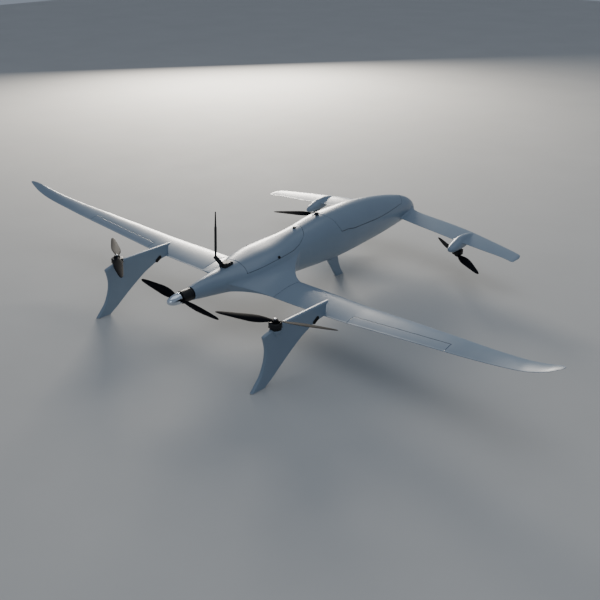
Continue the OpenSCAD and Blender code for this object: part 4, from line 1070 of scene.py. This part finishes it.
# the whip's hub and its pivot pin, both across the aircraft
for r, half, corner, n in ((4.4, 3.8, .6, 40), (1.5, 8.9, .3, 24)):
    v, f = turned([[.01, -half], [r, -half], [r, half], [.01, half]], [0, corner, corner, 0], n)
    b.add(v[:, [2, 1, 0]], f)
v, f = b.made()
piece("antenna_rod", turn(v, WHIP_LEAN, (1, 0, 0)) + PIV, f, PLASTIC, "b_antenna_whip", ["antenna_whip"],
      "black_plastic")


# ---------------------------------------------------------------- fasteners on the covers
LATCH_Y, LATCH_TH, LATCH_TILT, KNOB_Y, KNOB_TILT = 442.0, 31.0, 53, 652.0, 7
PIN_Y = 810


def turn_fastener(r):
    """A quarter-turn fastener: a low disc with a finger bar across it and a shank below."""
    prof = [[.01, .9], [r, .9], [r, 3.2], [r - 1.4, 3.9], [.01, 3.9]]
    b = Build().add(*turned(prof, [0, .4, .7, .5, 0], 48))
    b.add(*rounded_box((r * 1.75, 3.2, 4.2), 1.4, (0, 0, 5.2)))
    b.add(*lathe([[3, -6], [3, 1], [.01, 1]], 24))
    return b.made()


p = section(np.array(LATCH_Y), np.array(LATCH_TH))
for s, n in ((1, "r"), (-1, "l")):
    v, f = turn_fastener(7)
    v = turn(v, LATCH_TILT * s, (0, 1, 0)) + p * [s, 1, 1]
    piece("latch_" + n, v, f, BLACK, "b_hatch_latch_" + n, ["hatch_latch_" + n], "black_metal")
v, f = turn_fastener(8.5)
v = turn(v, KNOB_TILT, (1, 0, 0)) + section(np.array(KNOB_Y), np.array(90.0))
piece("knob", v, f, BLACK, "b_hatch_knob", ["hatch_knob"], "black_metal")
pin_z = float(section(np.array(800.0), np.array(90.0))[2]) + 8.5
b = Build().add(*rounded_box((16, 18, 13.6), 2, (0, PIN_Y, pin_z + .2)))
for x in (-5, 5):
    b.add(*screw_head(1.9, 1, .9, .4, .15, 18, (x, PIN_Y, pin_z + 6.9)))
piece("pin_block", *b.made(), BLACK, "airframe", ["latch_block"], "black_metal")
ring = turn(np.array(circle(9.5, 0, 48))[:, [2, 0, 1]], 20, (0, 0, 1)) + [0, PIN_Y - 26, pin_z + 5]
b = Build().add(*tube(ring, 1.8, 14, True))
b.add(*tube([[0, PIN_Y - 16, pin_z], [0, PIN_Y + 10, pin_z]], 2.5, 20))
v, f = turned([[.01, -4], [2.2, -3.6], [4, -1.4], [4, 1.4], [2.2, 3.6], [.01, 4]], .8, 28)
b.add(v[:, [0, 2, 1]] + [0, PIN_Y - 14.5, pin_z], f)
piece("pin_and_ring", *b.made(), STEEL, "b_pull_pin", ["pull_pin"], "steel")

# ---------------------------------------------------------------- inside
# top of the equipment tray, and of the pads that its boxes stand on
TRAY = 174.0
PADS = TRAY + 3.2
b = Build()
for y in (955, 1115):
    b.add(*rounded_box((80, 140, 62), 4, (0, y, PADS + 31)))
piece("packs", *b.made(), WRAP, "airframe", ["battery_packs"], "battery_wrap")
b = Build().add(*rounded_box((48, 80, 6), 1, (0, 560, TRAY + 6.2)))
b.add(*rounded_box((38, 60, 16), 2.5, (0, 558, TRAY + 17)))
for k in range(6):
    b.add(*rounded_box((5, 7, 5), .8, (-17.5 + 7 * k, 593, TRAY + 11)))
piece("autopilot_case", *b.made(), PLASTIC, "airframe", ["autopilot"], "black_plastic")
b = Build()
for x in (-42, -14, 14, 42):
    b.add(*rounded_box((26, 68, 14), 2, (x, 656, PADS + 7)))
    for k in range(7):
        b.add(*rounded_box((1.4, 52, 1.2), .3, (x - 9 + 3 * k, 656, PADS + 14.2)))
piece("speed_controllers", *b.made(), PLASTIC, "airframe", ["lift_escs"], "black_plastic")
v, f = rounded_box((30, 74, 16), 2.5, (0, 149, 199))
piece("pusher_controller", v, f, PLASTIC, "airframe", ["pusher_esc"], "black_plastic")

# CAD nodes that are shown as they are, with their finish
FINISH = {"equipment_tray": PLY, "formers": PLY, "firewall": ALU, "wing_spars": CARBON, "canard_spar": CARBON,
          "motor_screws": STEEL, "leg_screws": STEEL, "elevon_pin_r": STEEL, "elevon_pin_l": STEEL,
          "elevon_servo_r": PLASTIC, "elevon_servo_l": PLASTIC}
for n, m in FINISH.items():
    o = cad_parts[n]
    o.data.materials.clear()
    o.data.materials.append(m)

# ---------------------------------------------------------------- stage
me = bpy.data.meshes.new("floor")
me.from_pydata([(x, y, 0) for x in (-14, 14) for y in (-14, 14)], [], [(0, 2, 3, 1)])
floor = bpy.data.objects.new("floor", me)
bpy.context.scene.collection.objects.link(floor)
me.materials.append(material("floor_paint", (.56, .55, .53), .85, scale=1.5, vary=.03, rough_vary=.05))

world = bpy.data.worlds.new("studio")
bpy.context.scene.world = world
world.use_nodes = True
bg = world.node_tree.nodes["Background"]
bg.inputs["Color"].default_value = (.72, .83, 1, 1)
bg.inputs["Strength"].default_value = .31


def lamp(name, at, to, size, power, colour):
    """A rectangular soft light at one point, turned to another."""
    d = bpy.data.lights.new(name, "AREA")
    d.shape, d.size, d.size_y, d.energy, d.color = "RECTANGLE", size[0], size[1], power, colour
    o = bpy.data.objects.new(name, d)
    bpy.context.scene.collection.objects.link(o)
    o.location = at
    o.rotation_mode = "QUATERNION"
    o.rotation_quaternion = (Vector(to) - Vector(at)).to_track_quat("-Z", "Y")


lamp("key", (-4.8, 4.0, 1.75), (0, 0, .2), (2.2, 1.2), 430, (1, .94, .84))
lamp("top", (.5, .5, 5.5), (0, 0, 0), (5, 5), 45, (.9, .95, 1))
lamp("fill", (4.5, -4.5, 2.8), (0, 0, .2), (3, 2), 25, (.8, .9, 1))

cam_data = bpy.data.cameras.new("camera")
cam = bpy.data.objects.new("camera", cam_data)
bpy.context.scene.collection.objects.link(cam)
# the camera's bearing from the tail, its height angle and its roll
A, E, R = math.radians(42.671), math.radians(24.718), math.radians(-.637)
back = Vector((math.sin(A) * math.cos(E), -math.cos(A) * math.cos(E), math.sin(E)))
right = Vector((math.cos(A), math.sin(A), 0))
up = back.cross(right)
r2, u2 = right * math.cos(R) + up * math.sin(R), -right * math.sin(R) + up * math.cos(R)
m = Matrix((r2, u2, back)).transposed().to_4x4()
m.translation = Vector((2.5485, -2.0780 - Y_MID / 1000, 1.7009))
cam.matrix_world = m
cam_data.sensor_width, cam_data.lens = 36, 50.766
cam_data.shift_x, cam_data.shift_y = 0, -2 / 600
cam_data.clip_start, cam_data.clip_end = .05, 100
bpy.context.scene.camera = cam
